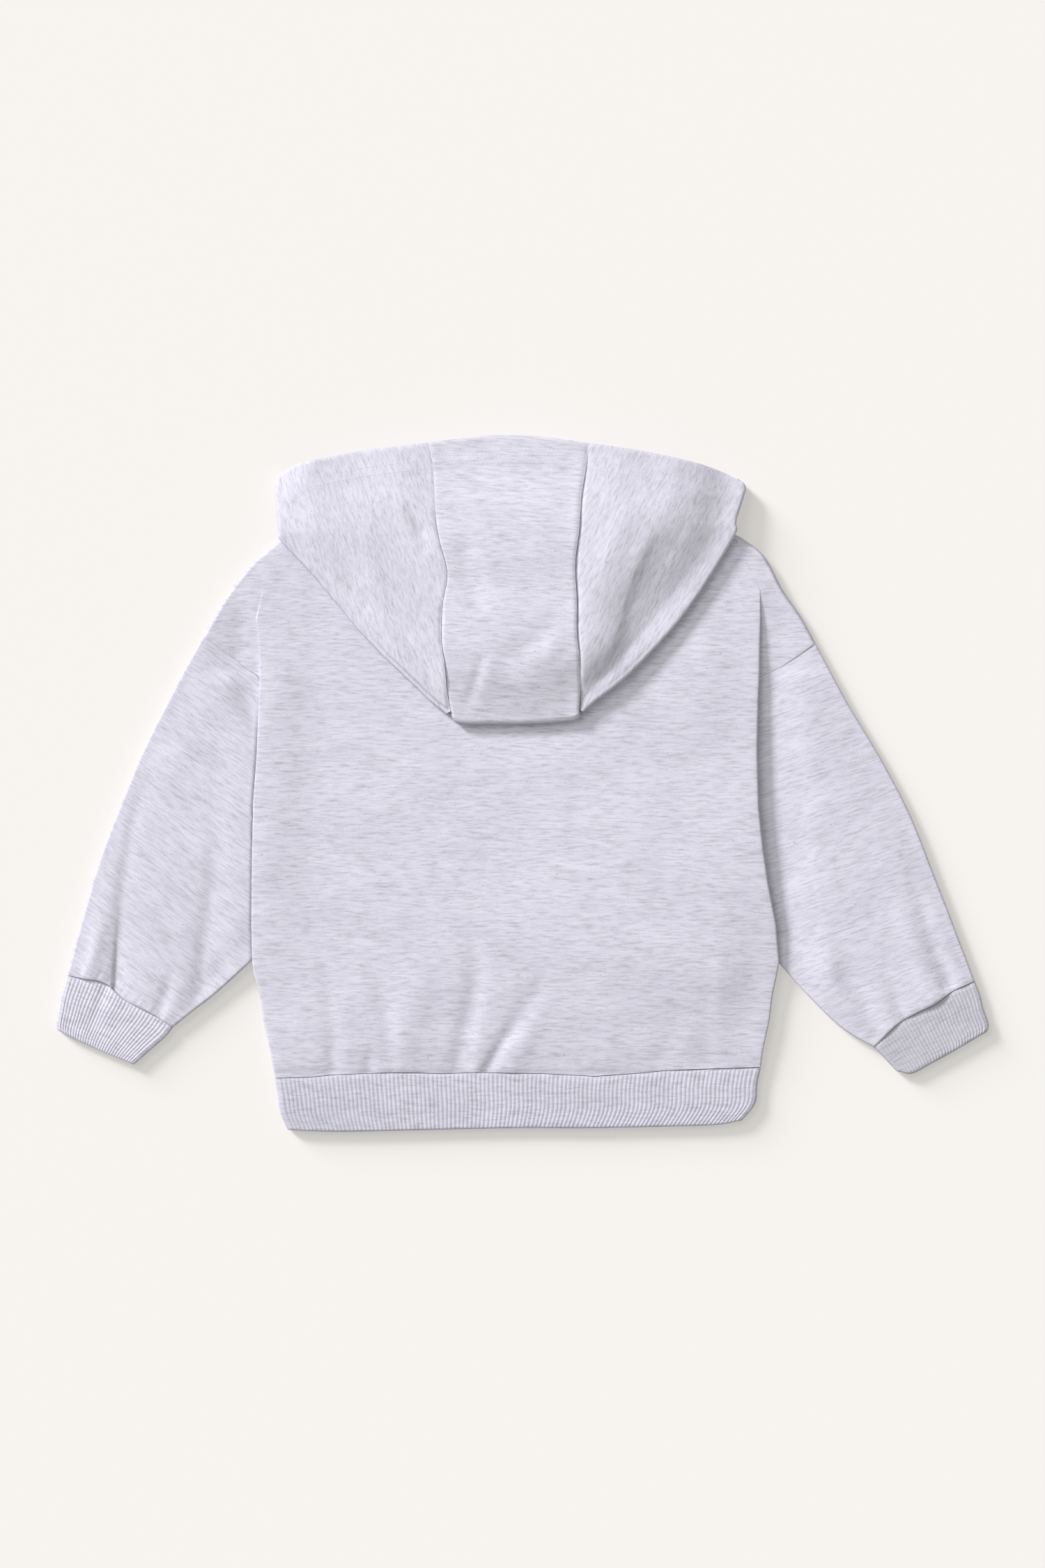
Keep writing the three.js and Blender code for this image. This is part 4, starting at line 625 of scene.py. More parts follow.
def front_panel(material):
    """The front, a flat wall under the rest."""
    def run(part):
        sign = part["sign"]
        line = curve(mirror(part["armhole"], sign)[::-1])
        t = np.linspace(0.008, 0.992, 90)
        p, d = line.at(t), units(line.at(np.minimum(t + 0.004, 1)) - line.at(t - 0.004))
        mouth = np.stack([p[:, 0] - sign * 0.45 * d[:, 1], p[:, 1] + sign * 0.45 * d[:, 0]], -1)
        under, tip = part["armhole"][-1], part["armhole"][0]
        side = [(sign * e, y) for y, e in part["side"][:4, :2]]
        side[0] = (side[0][0], side[0][1] + SEAM)
        side += [(sign * (under[0] + 17), -134), (sign * (under[0] - 2.4), under[1] - 5)]
        return side + listed(mouth) + [(sign * (tip[0] - 0.2), tip[1] + 0.8)]

    top_r = listed(curve(RIGHT_SHOULDER + RIGHT_SHOULDER_TOP[1:], 8).points[4:])
    top_l = listed(curve(mirror(LEFT_SHOULDER + LEFT_SHOULDER_TOP[1:], -1), 8).points[4:])
    neck = listed(curve(FRONT_NECK[::-1], 8).points)
    outline = [(x, y + CLEAR) for x, y in HEM_SEAM[1:-1]] + run(RIGHT_SLEEVE) + top_r + NECK_LINE[-2:-4:-1] \
        + neck + NECK_LINE[2:0:-1] + top_l[::-1] + run(LEFT_SLEEVE)[::-1]
    rolled = [(0.55, 0), (0.2, 0.15), (0, 0.6), (0, 1.4), (0.2, 1.85), (0.55, 2)]
    vertices, faces = plate(outline, rolled)
    obj = piece("front", (vertices * MM).tolist(), faces, material, 40)
    return obj


def ring_rows(place, widths, shares, high, half, top_count, under_count, attributes, around=12):
    """Rows of a flattened tube's middle: upper layer, turned edge, lower layer, turned edge."""
    top_u, under_u = np.linspace(0, 1, top_count + 1), np.linspace(0, 1, under_count + 1)
    v = shares[:, None]
    across = widths[:, None]
    zeros = np.zeros_like(v)
    first = (high(zeros, v) - half) / 2
    last = (high(zeros + 1, v) - half) / 2
    reach_first, reach_last = np.minimum(first, TUBE_EDGE), np.minimum(last, TUBE_EDGE)
    start, end = (half + reach_first) / across, 1 - (half + reach_last) / across
    u_top = mix(start, end, top_u[None])
    z_top = high(u_top, v + 0 * u_top)
    angle = np.linspace(0, math.pi, around + 1)[None, 1:-1]
    out, up = turned(angle)
    u_end = end + reach_last / across * out
    z_end = half + last * (1 + up)
    u_low = mix(end, start, under_u[None])
    z_low = np.full(u_low.shape, half)
    back = np.linspace(math.pi, 0, around + 1)[None, 1:]
    out, up = turned(back)
    u_start = start - reach_first / across * out
    z_start = half + first * (1 + up)
    z_start[:, -1] = z_top[:, 0]
    z_end = z_end + (z_top[:, -1:] - (half + 2 * last)) * (1 - angle / math.pi) ** 3
    u = np.concatenate([u_top, u_end, u_low, u_start], 1)
    z = np.concatenate([z_top, z_end, z_low, z_start], 1)
    u[:, -1] = u[:, 0]
    xy = place(u, v + 0 * u)
    extra = attributes(u, v + 0 * u, len(top_u))
    rows = np.concatenate([xy, z[..., None], xy, z[..., None], extra], -1)
    rows[:, -1] = rows[:, 0]
    return rows


def sleeve(name, part, material, seed):
    """A sleeve: a flattened tube, pressed thin where the side of the body lies on it."""
    sign = part["sign"]
    armhole = curve(mirror(part["armhole"], sign)[::-1])
    seam = curve(mirror(part["seam"], sign)[::-1])
    place = patch(armhole, seam, curve(mirror(part["inner"], sign)), curve(mirror(part["outer"], sign)))
    shares = steps(250, [0.02, 0.6, 1.2, 2.2, 3.5], 120, [SEAM / 2, 0.6, 1.2, 2.2, 3.5])

    def high(u, v):
        xy = place(u, v)
        x, y = xy[..., 0], xy[..., 1]
        beyond_fold = np.abs(x) - table_at(part["side"], y, "edge")
        by_fold = smooth(5, 38, beyond_fold)
        edge = smooth(0, 0.16, u) * smooth(0, 0.16, 1 - u)
        full = mix(SLEEVE_FLAT + 0.9, SLEEVE_FULL, 0.35 + 0.65 * edge)
        if sign < 0:
            by_fold = mix(smooth(-0.8, 1.2, beyond_fold), smooth(1, 26, beyond_fold), smooth(30, 70, y))
            full = full + 0.9 * smooth(30, 8, beyond_fold) * smooth(60, 20, y)
        pressed = mix(by_fold, smooth(0, 0.14, v), smooth(69, 86, y))
        tip = 1.1 * smooth(0.87, 1, u) * (1 - pressed)
        z = mix(SLEEVE_FLAT, full, pressed) + tip
        z = z + 1.7 * fold_height(part["folds"], x, y) * edge * pressed
        if sign < 0:
            z = z + 1.7 * drop_height(LEFT_SLEEVE_DROPS, x, y) * smooth(0, 0.08, u) * smooth(0, 0.08, 1 - u)
        z = np.maximum(z + 0.2 * waves(x, y, seed, 60) * edge * pressed, 3.2)
        gather = 0.22 * puckers(u * 105, (1 - v) * 230, 8) * edge * smooth(0.5, 4, (1 - v) * 250)
        return z + gather

    def seam_hollow(u, v, top_columns):
        depth = np.where(v < 0.5, 0.16 if sign > 0 else 0.45, 0.45)
        return (-depth * fade(np.minimum(v, 1 - v) * 250, 1.1))[..., None]

    widths = mix(armhole.length, seam.length, shares)
    rows = ring_rows(place, widths, shares, high, CLOTH / 2, 110, 30, seam_hollow)
    wall = Wall()
    wall.grid(rows, turn=sign > 0)
    return wall.fleece(name, material, lambda n: np.clip(n + 0.3, 0, 1))


def band(name, low, far, start, end, ribs, top, material, turn, per=8, seed=5, folds=()):
    """A band of rib knit: a flattened tube, ribbed on its upper face, with a folded lower edge."""
    place = patch(low, far, start, end)
    length = start.length
    half = RIB / 2
    shares = steps(length, [SEAM / 2, 0.5, 1.0, 1.8], 16, [0, 0.25, 0.6, 1.0, 1.5, 2.1])

    def high(u, v):
        xy = place(u, v)
        sag = 0.25 * waves(xy[..., 0], xy[..., 1], seed, 40) * np.sin(np.clip(v, 0, 1) * math.pi)
        return top + sag + 1.2 * fold_height(folds, xy[..., 0], xy[..., 1])

    widths = mix(low.length, far.length, shares)

    def attributes(u, v, top_columns):
        column = np.arange(u.shape[1])[None] + 0 * u
        upper = column < top_columns
        phase = column / per
        wobble = 0.06 * np.sin(v * 5 + np.floor(phase) * 1.7)
        shape = np.abs(np.cos(math.pi * (phase + wobble))) ** 3.2
        from_end = (1 - v) * length
        from_seam = v * length
        shown = smooth(0.0, 1.6, from_end) * mix(0.45, 1, smooth(0, 2.5, from_seam))
        rise = np.where(upper, RIB_LIFT * (1 - shape) * shown, 0)
        dip = -0.45 * fade(from_seam, 1.3)
        thin = np.where(from_end < 2.1, np.sqrt(np.clip(1 - (1 - from_end / 2.1) ** 2, 0.04, 1)), 1)
        return np.stack([rise + dip, thin], -1)

    rows = ring_rows(place, widths, shares, high, half, ribs * per, 60, attributes)
    wall = Wall()
    wall.grid(rows, turn=turn)
    wall.weld()
    outer, inner = wall.thicken(lambda f, n: half * f[:, 7] + f[:, 6] * np.clip(n[:, 2] * 1.4, 0, 1),
                                lambda f, n: half * f[:, 7])
    return wall.build(name, outer, inner, material)


def cuff(name, part, material):
    """The rib band at the end of a sleeve."""
    sign = part["sign"]
    low, far = (curve(mirror(part[key], sign)[::-1]) for key in ("seam", "cuff_end"))
    start, end = (curve(mirror(part[key], sign)) for key in ("cuff_inner", "cuff_outer"))
    return band(name, low, far, start, end, CUFF_RIBS, CUFF_TOP, material, sign > 0, per=10, seed=9,
                folds=LEFT_CUFF_FOLDS if sign < 0 else ())


# The body's end under the hood, from shoulder to shoulder
BODY_END = mirror(LEFT_SHOULDER, -1) + [(-172, 177.5)] + NECK_LINE + [(154, 178.6)] + RIGHT_SHOULDER[::-1]
RIGHT_FOLD_LINE = curve(HOOD_RIGHT["fold"]).points[::10]


def beyond(x, y):
    """Distance beyond the body's end, less than 0 over the body."""
    d, side, _, _ = nearest(BODY_END, x, y)
    return d * side


def hood_low(x, y):
    """Height of the middle of the hood's lower layer, on the back and down to the surface beyond it."""
    body = back_top(x, y) + CLEAR + CLOTH / 2
    return mix(body, CLOTH / 2, smooth(-0.5, HOOD_DROP, beyond(x, y)))


def fold_radius(xy):
    """Radius of the hood's folded edge, fuller where cloth is gathered and at the turned hem."""
    x, y = xy[..., 0], xy[..., 1]
    gathered = 0.25 * smooth(30, 60, x) * smooth(150, 90, y)
    return HOOD_FOLD * (1 + gathered + 0.6 * smooth(0, 36, beyond(x, y)))


def from_foot(y):
    """Share of the hood's loft, which it reaches some way up from the fold at its foot."""
    return 1 - (1 - np.clip((y - 45) / 64, 0, 1)) ** 2


def dome(x, y):
    """Loft of the hood, which stands highest beside its right seam."""
    from_right = nearest(RIGHT_FOLD_LINE, x, y)[0]
    to_mouth = mix(1, 0.5, smooth(150, 250, y))
    up = smooth(90, 140, y)
    by_fold = smooth(8 * up, mix(36, 54, up), from_right)
    return HOOD_DOME * smooth(-150, 30, x) * by_fold * from_foot(y) * to_mouth


def hood_high(x, y, from_fold):
    """Height of the middle of the hood's upper layer."""
    floor = hood_low(x, y) + 2 * fold_radius(np.stack([x, y], -1))
    inner = mix(HOOD_FULL, HOOD_MOUTH, smooth(-14, 46, beyond(x, y))) + body_loft(x, y)
    right = smooth(30, 60, x)
    lift = smooth(6 * right, 26 + 8 * right, from_fold)
    z = mix(floor, np.maximum(inner, floor), lift) + dome(x, y)
    soft = fold_height(HOOD_FOLDS, x, y) + drop_height(HOOD_DROPS, x, y)
    z = z + 2.0 * soft * smooth(3, 16, from_fold)
    return z + 0.2 * waves(x, y, 11, 50) * smooth(3, 20, from_fold)


FLAP, BODY = 40, 110  # rows of a hood side beyond the shoulder and over the back
LEFT_SEAM_DEPTH = [
    (45, 0.9), (52, 1), (62, 0.8), (68, 0.25), (95, 0.3), (100, 0.9), (122, 0.9), (130, 0.25), (250, 0.2),
]
RIGHT_SEAM_DEPTH = [(45, 0.8), (150, 0.75), (235, 0.6), (250, 0.4)]


def seam_dip(y, gap, sign):
    """The rolled edge at a hood seam, deeper where the seam shows as a dark line."""
    table = np.array(RIGHT_SEAM_DEPTH if sign > 0 else LEFT_SEAM_DEPTH, float)
    depth = np.interp(y, table[:, 0], table[:, 1])
    return -(0.15 + 0.75 * depth) * fade(gap, 0.8 + 0.9 * depth)


def hem_relief(from_edge, from_fold=99.0):
    """The turned hem round the opening, a little thicker, with a rolled edge."""
    thicker = 0.2 * (1 - smooth(HEM_DEPTH - 1.5, HEM_DEPTH + 1.5, from_edge))
    return thicker * smooth(1, 10, from_fold) - 0.42 * fade(from_edge, 0.9)


def hood_seam(side, away):
    """Points along a hood seam, a given distance to the side of it."""
    line = curve(side["seam"])
    p = line.at(np.linspace(0, 1, 241))
    return np.stack([side["sign"] * (p[:, 0] + away), p[:, 1]], -1)


def doubled(points):
    """Puts each place twice before the values that go with it, as a wall's grid has it."""
    return np.concatenate([points[..., :3], points[..., :3], points[..., 3:]], -1)


def hood_side(name, side, material):
    """A side of the hood: its upper layer, the folded edge, and the lower layer on the back and shoulder."""
    sign = side["sign"]
    fold, opening = curve(mirror(side["fold"], sign)), curve(mirror(side["opening"], sign))
    under = curve(mirror(side["under"], sign))
    edge = CLOTH / 2 + HOOD_FOLD
    fine = np.linspace(0, 0.5, 501)
    where = fold.at(fine)
    leave = fine[np.argmax(beyond(where[:, 0], where[:, 1]) <= -3.5)]
    shares = np.concatenate([np.linspace(0, leave, FLAP, endpoint=False), np.linspace(leave, 1, BODY + 1)])
    seam_points = hood_seam(side, SEAM / 2)
    coarse = np.concatenate([np.linspace(0, leave, 6, endpoint=False), np.linspace(leave, 1, 10)])
    seam_index = np.interp(shares, coarse, np.linspace(0, 1, 16))
    seam = Chain(ladder(seam_points).at(seam_index), shares)
    place = patch(opening, Chain([seam_points[-1], fold.at(1.0)]), seam, fold)
    v = shares[:, None]
    a, b = place(0 * v, v), place(0 * v + 1, v)
    width = np.maximum(6, np.hypot(*(np.moveaxis(a - b, -1, 0))))
    cu = 1 - edge / width
    columns, around = 84, 14
    u = np.concatenate([[0, 0.004, 0.009, 0.016, 0.026], np.linspace(0.04, 1, columns - 4)])[None] * cu
    xy = place(u, v + 0 * u)
    z = hood_high(xy[..., 0], xy[..., 1], (1 - u) * width - edge)
    centre = place(cu, v)[:, 0]
    low = hood_low(centre[:, 0], centre[:, 1])[:, None]
    edge_top = low + 2 * fold_radius(centre)[:, None]
    z = z + (edge_top - z) * (1 - smooth(0, 3, (cu - u) * width))
    top = np.concatenate([xy, z[..., None]], -1)
    angle = np.linspace(0, math.pi, around + 1)[None, 1:]
    out, up = turned(angle)
    arc_xy = place(cu + HOOD_FOLD / width * out, v + 0 * angle)
    arc = np.concatenate([arc_xy, (low + fold_radius(arc_xy) * (1 + up))[..., None]], -1)
    arc[:, -1] = np.column_stack([centre, low])
    seam_gap = np.minimum(u * width, 30)
    from_edge = nearest(opening.points[::10], xy[..., 0], xy[..., 1])[0]
    bevel = seam_dip(xy[..., 1], seam_gap, sign)
    if sign > 0:
        bevel = bevel - 0.8 * np.exp(-seam_gap / 5) * smooth(245, 225, xy[..., 1])
    top_extra = (bevel + hem_relief(from_edge, (cu - u) * width))[..., None]
    arc_extra = top_extra[:, -1:] * np.clip(1 - angle / 1.2, 0, 1)[..., None]
    rows = np.concatenate([np.concatenate([top, arc], 1), np.concatenate([top_extra, arc_extra], 1)], -1)

    wall = Wall()
    wall.grid(doubled(rows), turn=sign > 0)
    # The layer over the back
    under_columns = 36
    under_x = UNDER_RIGHT + SEAM / 2 if sign > 0 else UNDER_LEFT - SEAM / 2
    s = np.linspace(0, 1, under_columns + 1)[None]
    t = (np.arange(BODY + 1) / BODY)[:, None]
    lead = centre[FLAP:]
    foot_y = mirror(side["fold"], sign)[-1][1] + 0.5
    end_x, end_y = under_x + 0 * t, mix(UNDER_TOP, foot_y, t)
    x = mix(lead[:, :1], end_x, s)
    y = mix(lead[:, 1:], end_y, s)
    base_y = mix(lead[0, 1], UNDER_TOP, s)
    neck = np.array(NECK_LINE, float)
    crest_x = mix(lead[0, 0], under_x, s)
    crest_y = mix(base_y, np.interp(crest_x, neck[:, 0], neck[:, 1]) - 3.6, smooth(0, 0.12, s))
    y = y + (crest_y - base_y) * (1 - smooth(0, 0.35, t))
    body = np.stack([x, y, hood_low(x, y), 0 * x], -1)
    body[:, 0, :3] = np.column_stack([lead, low[FLAP:, 0]])
    wall.grid(doubled(body), turn=sign > 0)
    # The layer beyond the shoulder, down to the surface and on to the opening
    neck_share = 0.62
    shared = round(under_columns * 4 / 6)
    back = 1 - (np.arange(FLAP + 1) / FLAP)[:, None]
    s = np.arange(shared + 1)[None] / under_columns
    target = under.at(np.arange(shared + 1) / shared * neck_share * 0.62)
    start = body[0, :shared + 1, :2]
    fx = mix(start[None, :, 0], target[None, :, 0], back)
    fy = mix(start[None, :, 1], target[None, :, 1], back)
    base = mix(lead[0][None], under.at(0.0)[None], back)
    off = (centre[:FLAP + 1] - base)[:, None] * (1 - smooth(0, 0.3, s))[..., None]
    fx, fy = fx + off[..., 0], fy + off[..., 1]
    flap = np.stack([fx, fy, hood_low(fx, fy), 0 * fx], -1)
    flap[:, 0, :3] = np.column_stack([centre[:FLAP + 1], low[:FLAP + 1, 0]])
    flap[FLAP] = body[0, :shared + 1]
    wall.grid(doubled(flap), turn=sign > 0)
    return wall.fleece(name, material, lambda n: n > 0)


def hood_centre(material):
    """The strip between the hood's sides, folded under at its foot."""
    count = 16
    left_seam, right_seam = hood_seam(HOOD_LEFT, -SEAM / 2), hood_seam(HOOD_RIGHT, -SEAM / 2)
    marks = np.append(np.linspace(0, 15 / 16, 241), 1)
    left = Chain(np.vstack([left_seam, HOOD_FOOT[0]]), marks)
    right = Chain(np.vstack([right_seam, HOOD_FOOT[-1]]), marks)
    place = patch(curve(HOOD_END), curve(HOOD_FOOT), left, right)
    last_run = 5 * count
    last = 1 - (CLOTH / 2 + FOOT_FOLD) / last_run
    across = np.concatenate([[0, 0.006, 0.013, 0.024, 0.04], np.linspace(0.06, 0.94, 60),
                             [0.96, 0.976, 0.987, 0.994, 1]])[None]
    v = np.concatenate([np.linspace(0, 15 / 16, 150), np.linspace(15 / 16, last, 8)[1:]])[:, None]
    xy = place(across, v + 0 * across)
    x, y = xy[..., 0], xy[..., 1]
    z = mix(hood_low(x, y) + 2 * FOOT_FOLD, hood_high(x, y, 100 + 0 * x), from_foot(y))
    left_gap, right_gap = 100 * across + 0 * x, 95 * (1 - across) + 0 * x
    # The strip's edge stands a little above the right side panel
    z = z + 0.7 * fade(right_gap, 7) * smooth(240, 215, y)
    top = np.concatenate([xy, z[..., None]], -1)
    angle = np.linspace(0, math.pi, 15)[1:-1, None]
    arc_v = 1 - (CLOTH / 2 + FOOT_FOLD - FOOT_FOLD * np.sin(angle)) / last_run
    arc_xy = place(across + 0 * angle, arc_v + 0 * across)
    foot = hood_low(x[-1], y[-1])[None]
    arc = np.concatenate([arc_xy, (foot + FOOT_FOLD * (1 + np.cos(angle)))[..., None]], -1)
    t = np.linspace(0, 1, 60)[:, None]
    under_x = mix(UNDER_LEFT + SEAM / 2, UNDER_RIGHT - SEAM / 2, across)
    ux = mix(x[-1:], under_x, smooth(0, 0.3, t))
    uy = mix(y[-1:], UNDER_TOP + 1, t) + 0 * across
    low = np.stack([ux, uy, hood_low(ux, uy)], -1)
    from_edge = nearest(curve(HOOD_END).points[::6], x, y)[0]
    relief = seam_dip(y, left_gap, -1) + seam_dip(y, right_gap, 1) + hem_relief(from_edge)
    plain = np.zeros((len(arc) + len(low), x.shape[1]))
    extra = np.concatenate([relief, plain])[..., None]
    wall = Wall()
    wall.grid(doubled(np.concatenate([np.concatenate([top, arc, low]), extra], -1)), turn=True)
    return wall.fleece("hood_strip", material, lambda n: n > 0)


# Colours of the pale and the dark fibres, and the painted shade that darkens a steep edge
LIGHT, DARK = (0.738, 0.72, 0.819), (0.519, 0.514, 0.565)
# Painted shade: the hem's colours are the fibres' colours darkened, for the shade in the rib's grooves and
# the light falling off at the bottom
HEM_SHADED_LIGHT, HEM_SHADED_DARK = (0.65, 0.636, 0.73), (0.47, 0.466, 0.515)
# Painted shade: the right cuff has a darker copy of the fibre colours that the left cuff has, for the light
# falling off towards the lower right
RIGHT_CUFF_SHADED_LIGHT, RIGHT_CUFF_SHADED_DARK = (0.6, 0.587, 0.65), (0.44, 0.436, 0.47)
EDGE_PAINTED_SHADE = (0.78, 0.78, 0.79)


def new_material(name, roughness):
    """A material with its nodes, links and shader."""
    material = bpy.data.materials.new(name)
    material.use_nodes = True
    shader = material.node_tree.nodes["Principled BSDF"]
    shader.inputs["Roughness"].default_value = roughness
    return material, material.node_tree.nodes, material.node_tree.links, shader


def cloth_material(name, light, dark, angle, length=10.0):
    """Heather jersey: pale and dark fibres drawn out along the knit's courses, with a fuzzy face and painted
    shade on its steep edges.
    """
    material, nodes, links, shader = new_material(name, 0.95)
    shader.inputs["Sheen Weight"].default_value = 0.02
    shader.inputs["Sheen Roughness"].default_value = 0.6
    shader.inputs["Specular IOR Level"].default_value = 0.15
    coordinates = nodes.new("ShaderNodeTexCoord")

    def noise(scale, detail=2.0, rough=0.5):
        mapping = nodes.new("ShaderNodeMapping")
        turned = nodes.new("ShaderNodeMapping")
        turned.inputs["Rotation"].default_value = (0, 0, math.radians(angle))
        links.new(coordinates.outputs["Object"], turned.inputs["Vector"])
        mapping.inputs["Scale"].default_value = scale
        links.new(turned.outputs["Vector"], mapping.inputs["Vector"])
        texture = nodes.new("ShaderNodeTexNoise")
        texture.inputs["Scale"].default_value = 1
        texture.inputs["Detail"].default_value = detail
        texture.inputs["Roughness"].default_value = rough
        links.new(mapping.outputs["Vector"], texture.inputs["Vector"])
        return texture.outputs["Fac"]

    def ramp(value, stops):
        node = nodes.new("ShaderNodeValToRGB")
        links.new(value, node.inputs["Fac"])
        ends = node.color_ramp.elements
        ends[0].position, ends[0].color = stops[0][0], (*stops[0][1], 1)
        ends[1].position, ends[1].color = stops[-1][0], (*stops[-1][1], 1)
        for position, colour in stops[1:-1]:
            ends.new(position).color = (*colour, 1)
        return node.outputs["Color"]

    def blend(kind, factor, a, b):
        node = nodes.new("ShaderNodeMix")
        node.data_type, node.blend_type = "RGBA", kind
        if isinstance(factor, (int, float)):
            node.inputs["Factor"].default_value = factor
        else:
            links.new(factor, node.inputs["Factor"])
        links.new(a, node.inputs["A"])
        if isinstance(b, tuple):
            node.inputs["B"].default_value = (*b, 1)
        else:
            links.new(b, node.inputs["B"])
        return node.outputs["Result"]

    # Clumps of grey fibre drawn out along the courses, over a pale ground
    middle = tuple(mix(d, p, 0.62) for p, d in zip(light, dark))
    bright = tuple(1.04 * v for v in light)
    along = 1000 / length
    streaks = noise((along, 700, 500), 3.0, 0.55)
    base = ramp(streaks, [(0.24, dark), (0.42, middle), (0.56, light), (0.76, bright)])
    broad = noise((0.45 * along, 260, 220), 2.0, 0.5)
    base = blend("MULTIPLY", 0.6, base, ramp(broad, [(0.3, (0.93, 0.93, 0.935)), (0.7, (1.05, 1.05, 1.05))]))
    fine = noise((6 * along, 1900, 1500), 3.0, 0.65)
    base = blend("MULTIPLY", 0.7, base, ramp(fine, [(0.28, (0.88, 0.88, 0.89)), (0.5, (1, 1, 1)),
                                                   (0.72, (1.09, 1.09, 1.09))]))
    cloud = noise((20, 48, 40), 3, 0.55)
    base = blend("MULTIPLY", 0.75, base,
                 ramp(cloud, [(0.32, (0.93, 0.93, 0.935)), (0.68, (1.04, 1.04, 1.035))]))
    neps = noise((420, 800, 600), 0, 0)
    base = blend("MULTIPLY", ramp(neps, [(0.83, (0, 0, 0)), (0.86, (1, 1, 1))]), base, (0.72, 0.71, 0.75))
    # Painted shade: turned edges are darkened the steeper they stand, to damp how bright the low lamp makes
    # them
    split = nodes.new("ShaderNodeSeparateXYZ")
    links.new(coordinates.outputs["Normal"], split.inputs["Vector"])
    painted_edge_shade_mask = nodes.new("ShaderNodeMath")
    painted_edge_shade_mask.operation = "ABSOLUTE"
    links.new(split.outputs["Z"], painted_edge_shade_mask.inputs[0])
    base = blend("MULTIPLY", 1.0, base,
                 ramp(painted_edge_shade_mask.outputs["Value"], [(0.4, EDGE_PAINTED_SHADE), (0.92, (1, 1, 1))]))
    links.new(base, shader.inputs["Base Color"])
    bump = nodes.new("ShaderNodeBump")
    bump.inputs["Strength"].default_value = 0.35
    bump.inputs["Distance"].default_value = 0.0004
    links.new(noise((900, 1500, 1200), 3, 0.65), bump.inputs["Height"])
    links.new(bump.outputs["Normal"], shader.inputs["Normal"])
    return material


def thread_material():
    """Thread a shade paler and greyer in places."""
    material, nodes, links, shader = new_material("stitch_thread", 0.6)
    texture = nodes.new("ShaderNodeTexNoise")
    texture.inputs["Scale"].default_value = 900
    ramp = nodes.new("ShaderNodeValToRGB")
    ramp.color_ramp.elements[0].color = (0.64, 0.63, 0.72, 1)
    ramp.color_ramp.elements[1].color = (0.74, 0.73, 0.83, 1)
    links.new(texture.outputs["Fac"], ramp.inputs["Fac"])
    links.new(ramp.outputs["Color"], shader.inputs["Base Color"])
    return material


body_cloth = cloth_material("fleece_body", LIGHT, DARK, 0)
strip_cloth = cloth_material("fleece_hood_strip", LIGHT, DARK, 3)
left_sleeve_cloth = cloth_material("fleece_sleeve_left", LIGHT, DARK, 35)
right_sleeve_cloth = cloth_material("fleece_sleeve_right", LIGHT, DARK, -18)
left_hood_cloth = cloth_material("fleece_hood_left", LIGHT, DARK, 72, 6.5)
right_hood_cloth = cloth_material("fleece_hood_right", LIGHT, DARK, -64, 7.5)
hem_cloth = cloth_material("rib_hem", HEM_SHADED_LIGHT, HEM_SHADED_DARK, 0)
left_cuff_cloth = cloth_material("rib_cuff_left", LIGHT, DARK, 25)
right_cuff_cloth = cloth_material("rib_cuff_right", RIGHT_CUFF_SHADED_LIGHT, RIGHT_CUFF_SHADED_DARK, -30)

front = front_panel(body_cloth)
back = back_panel(body_cloth)
arm_left = sleeve("arm_left", LEFT_SLEEVE, left_sleeve_cloth, 21)
arm_right = sleeve("arm_right", RIGHT_SLEEVE, right_sleeve_cloth, 22)
wrist_left = cuff("wrist_left", LEFT_SLEEVE, left_cuff_cloth)
wrist_right = cuff("wrist_right", RIGHT_SLEEVE, right_cuff_cloth)
hem = band("hem", Chain(HEM_SEAM), curve(HEM_EDGE), curve(HEM_LEFT), curve(HEM_RIGHT), HEM_RIBS, HEM_TOP,
           hem_cloth, True, seed=4)
side_left = hood_side("hood_side_left", HOOD_LEFT, left_hood_cloth)
strip = hood_centre(strip_cloth)
side_right = hood_side("hood_side_right", HOOD_RIGHT, right_hood_cloth)


def surface_of(objects):
    """Finds the top of the cloth under a place in plan, in millimetres."""
    trees = [BVHTree.FromPolygons([v.co for v in o.data.vertices], [p.vertices for p in o.data.polygons])
             for o in objects]

    def top(x, y):
        best = None
        for tree in trees:
            spot, normal, _, _ = tree.ray_cast(Vector((x * MM, y * MM, 0.1)), Vector((0, 0, -1)))
            if spot is not None and (best is None or spot.z > best[0].z):
                best = spot, normal
        return best

    return top


STITCH_RISE = 0.14


def stitches(name, lines, objects, pitch=2.8, length=2.2, width=0.4):
    """Rows of short raised stitches laid on the cloth."""
    top = surface_of(objects)
    vertices, faces = [], []
    sides, rings = 6, (-1, -0.8, -0.3, 0.3, 0.8, 1)
    for line in lines:
        way = Chain(line)
        for k in range(int(way.length / pitch)):
            t = (k + 0.5) * pitch / way.length
            here, ahead = way.at(t), way.at(min(1, t + 0.002))
            found = top(*here)
            if found is None:
                continue
            spot, normal = found
            along = Vector((*(ahead - here), 0)).normalized()
            along = (along - normal * along.dot(normal)).normalized()
            across = normal.cross(along)
            base = len(vertices)
            for place in rings:
                swell = math.sqrt(max(0.0, 1 - place * place * 0.98))
                for side in range(sides):
                    turn = side / sides * 2 * math.pi
                    vertices.append(spot + (along * place * length / 2
                                            + across * math.cos(turn) * width / 2 * swell
                                            + normal * (math.sin(turn) * STITCH_RISE * swell)) * MM)
            for ring in range(len(rings) - 1):
                for side in range(sides):
                    a, b = base + ring * sides + side, base + ring * sides + (side + 1) % sides
                    faces.append((a, b, b + sides, a + sides))
            faces.append(tuple(range(base + sides - 1, base - 1, -1)))
            last = base + (len(rings) - 1) * sides
            faces.append(tuple(range(last, last + sides)))
    return piece(name, vertices, faces, thread_material())


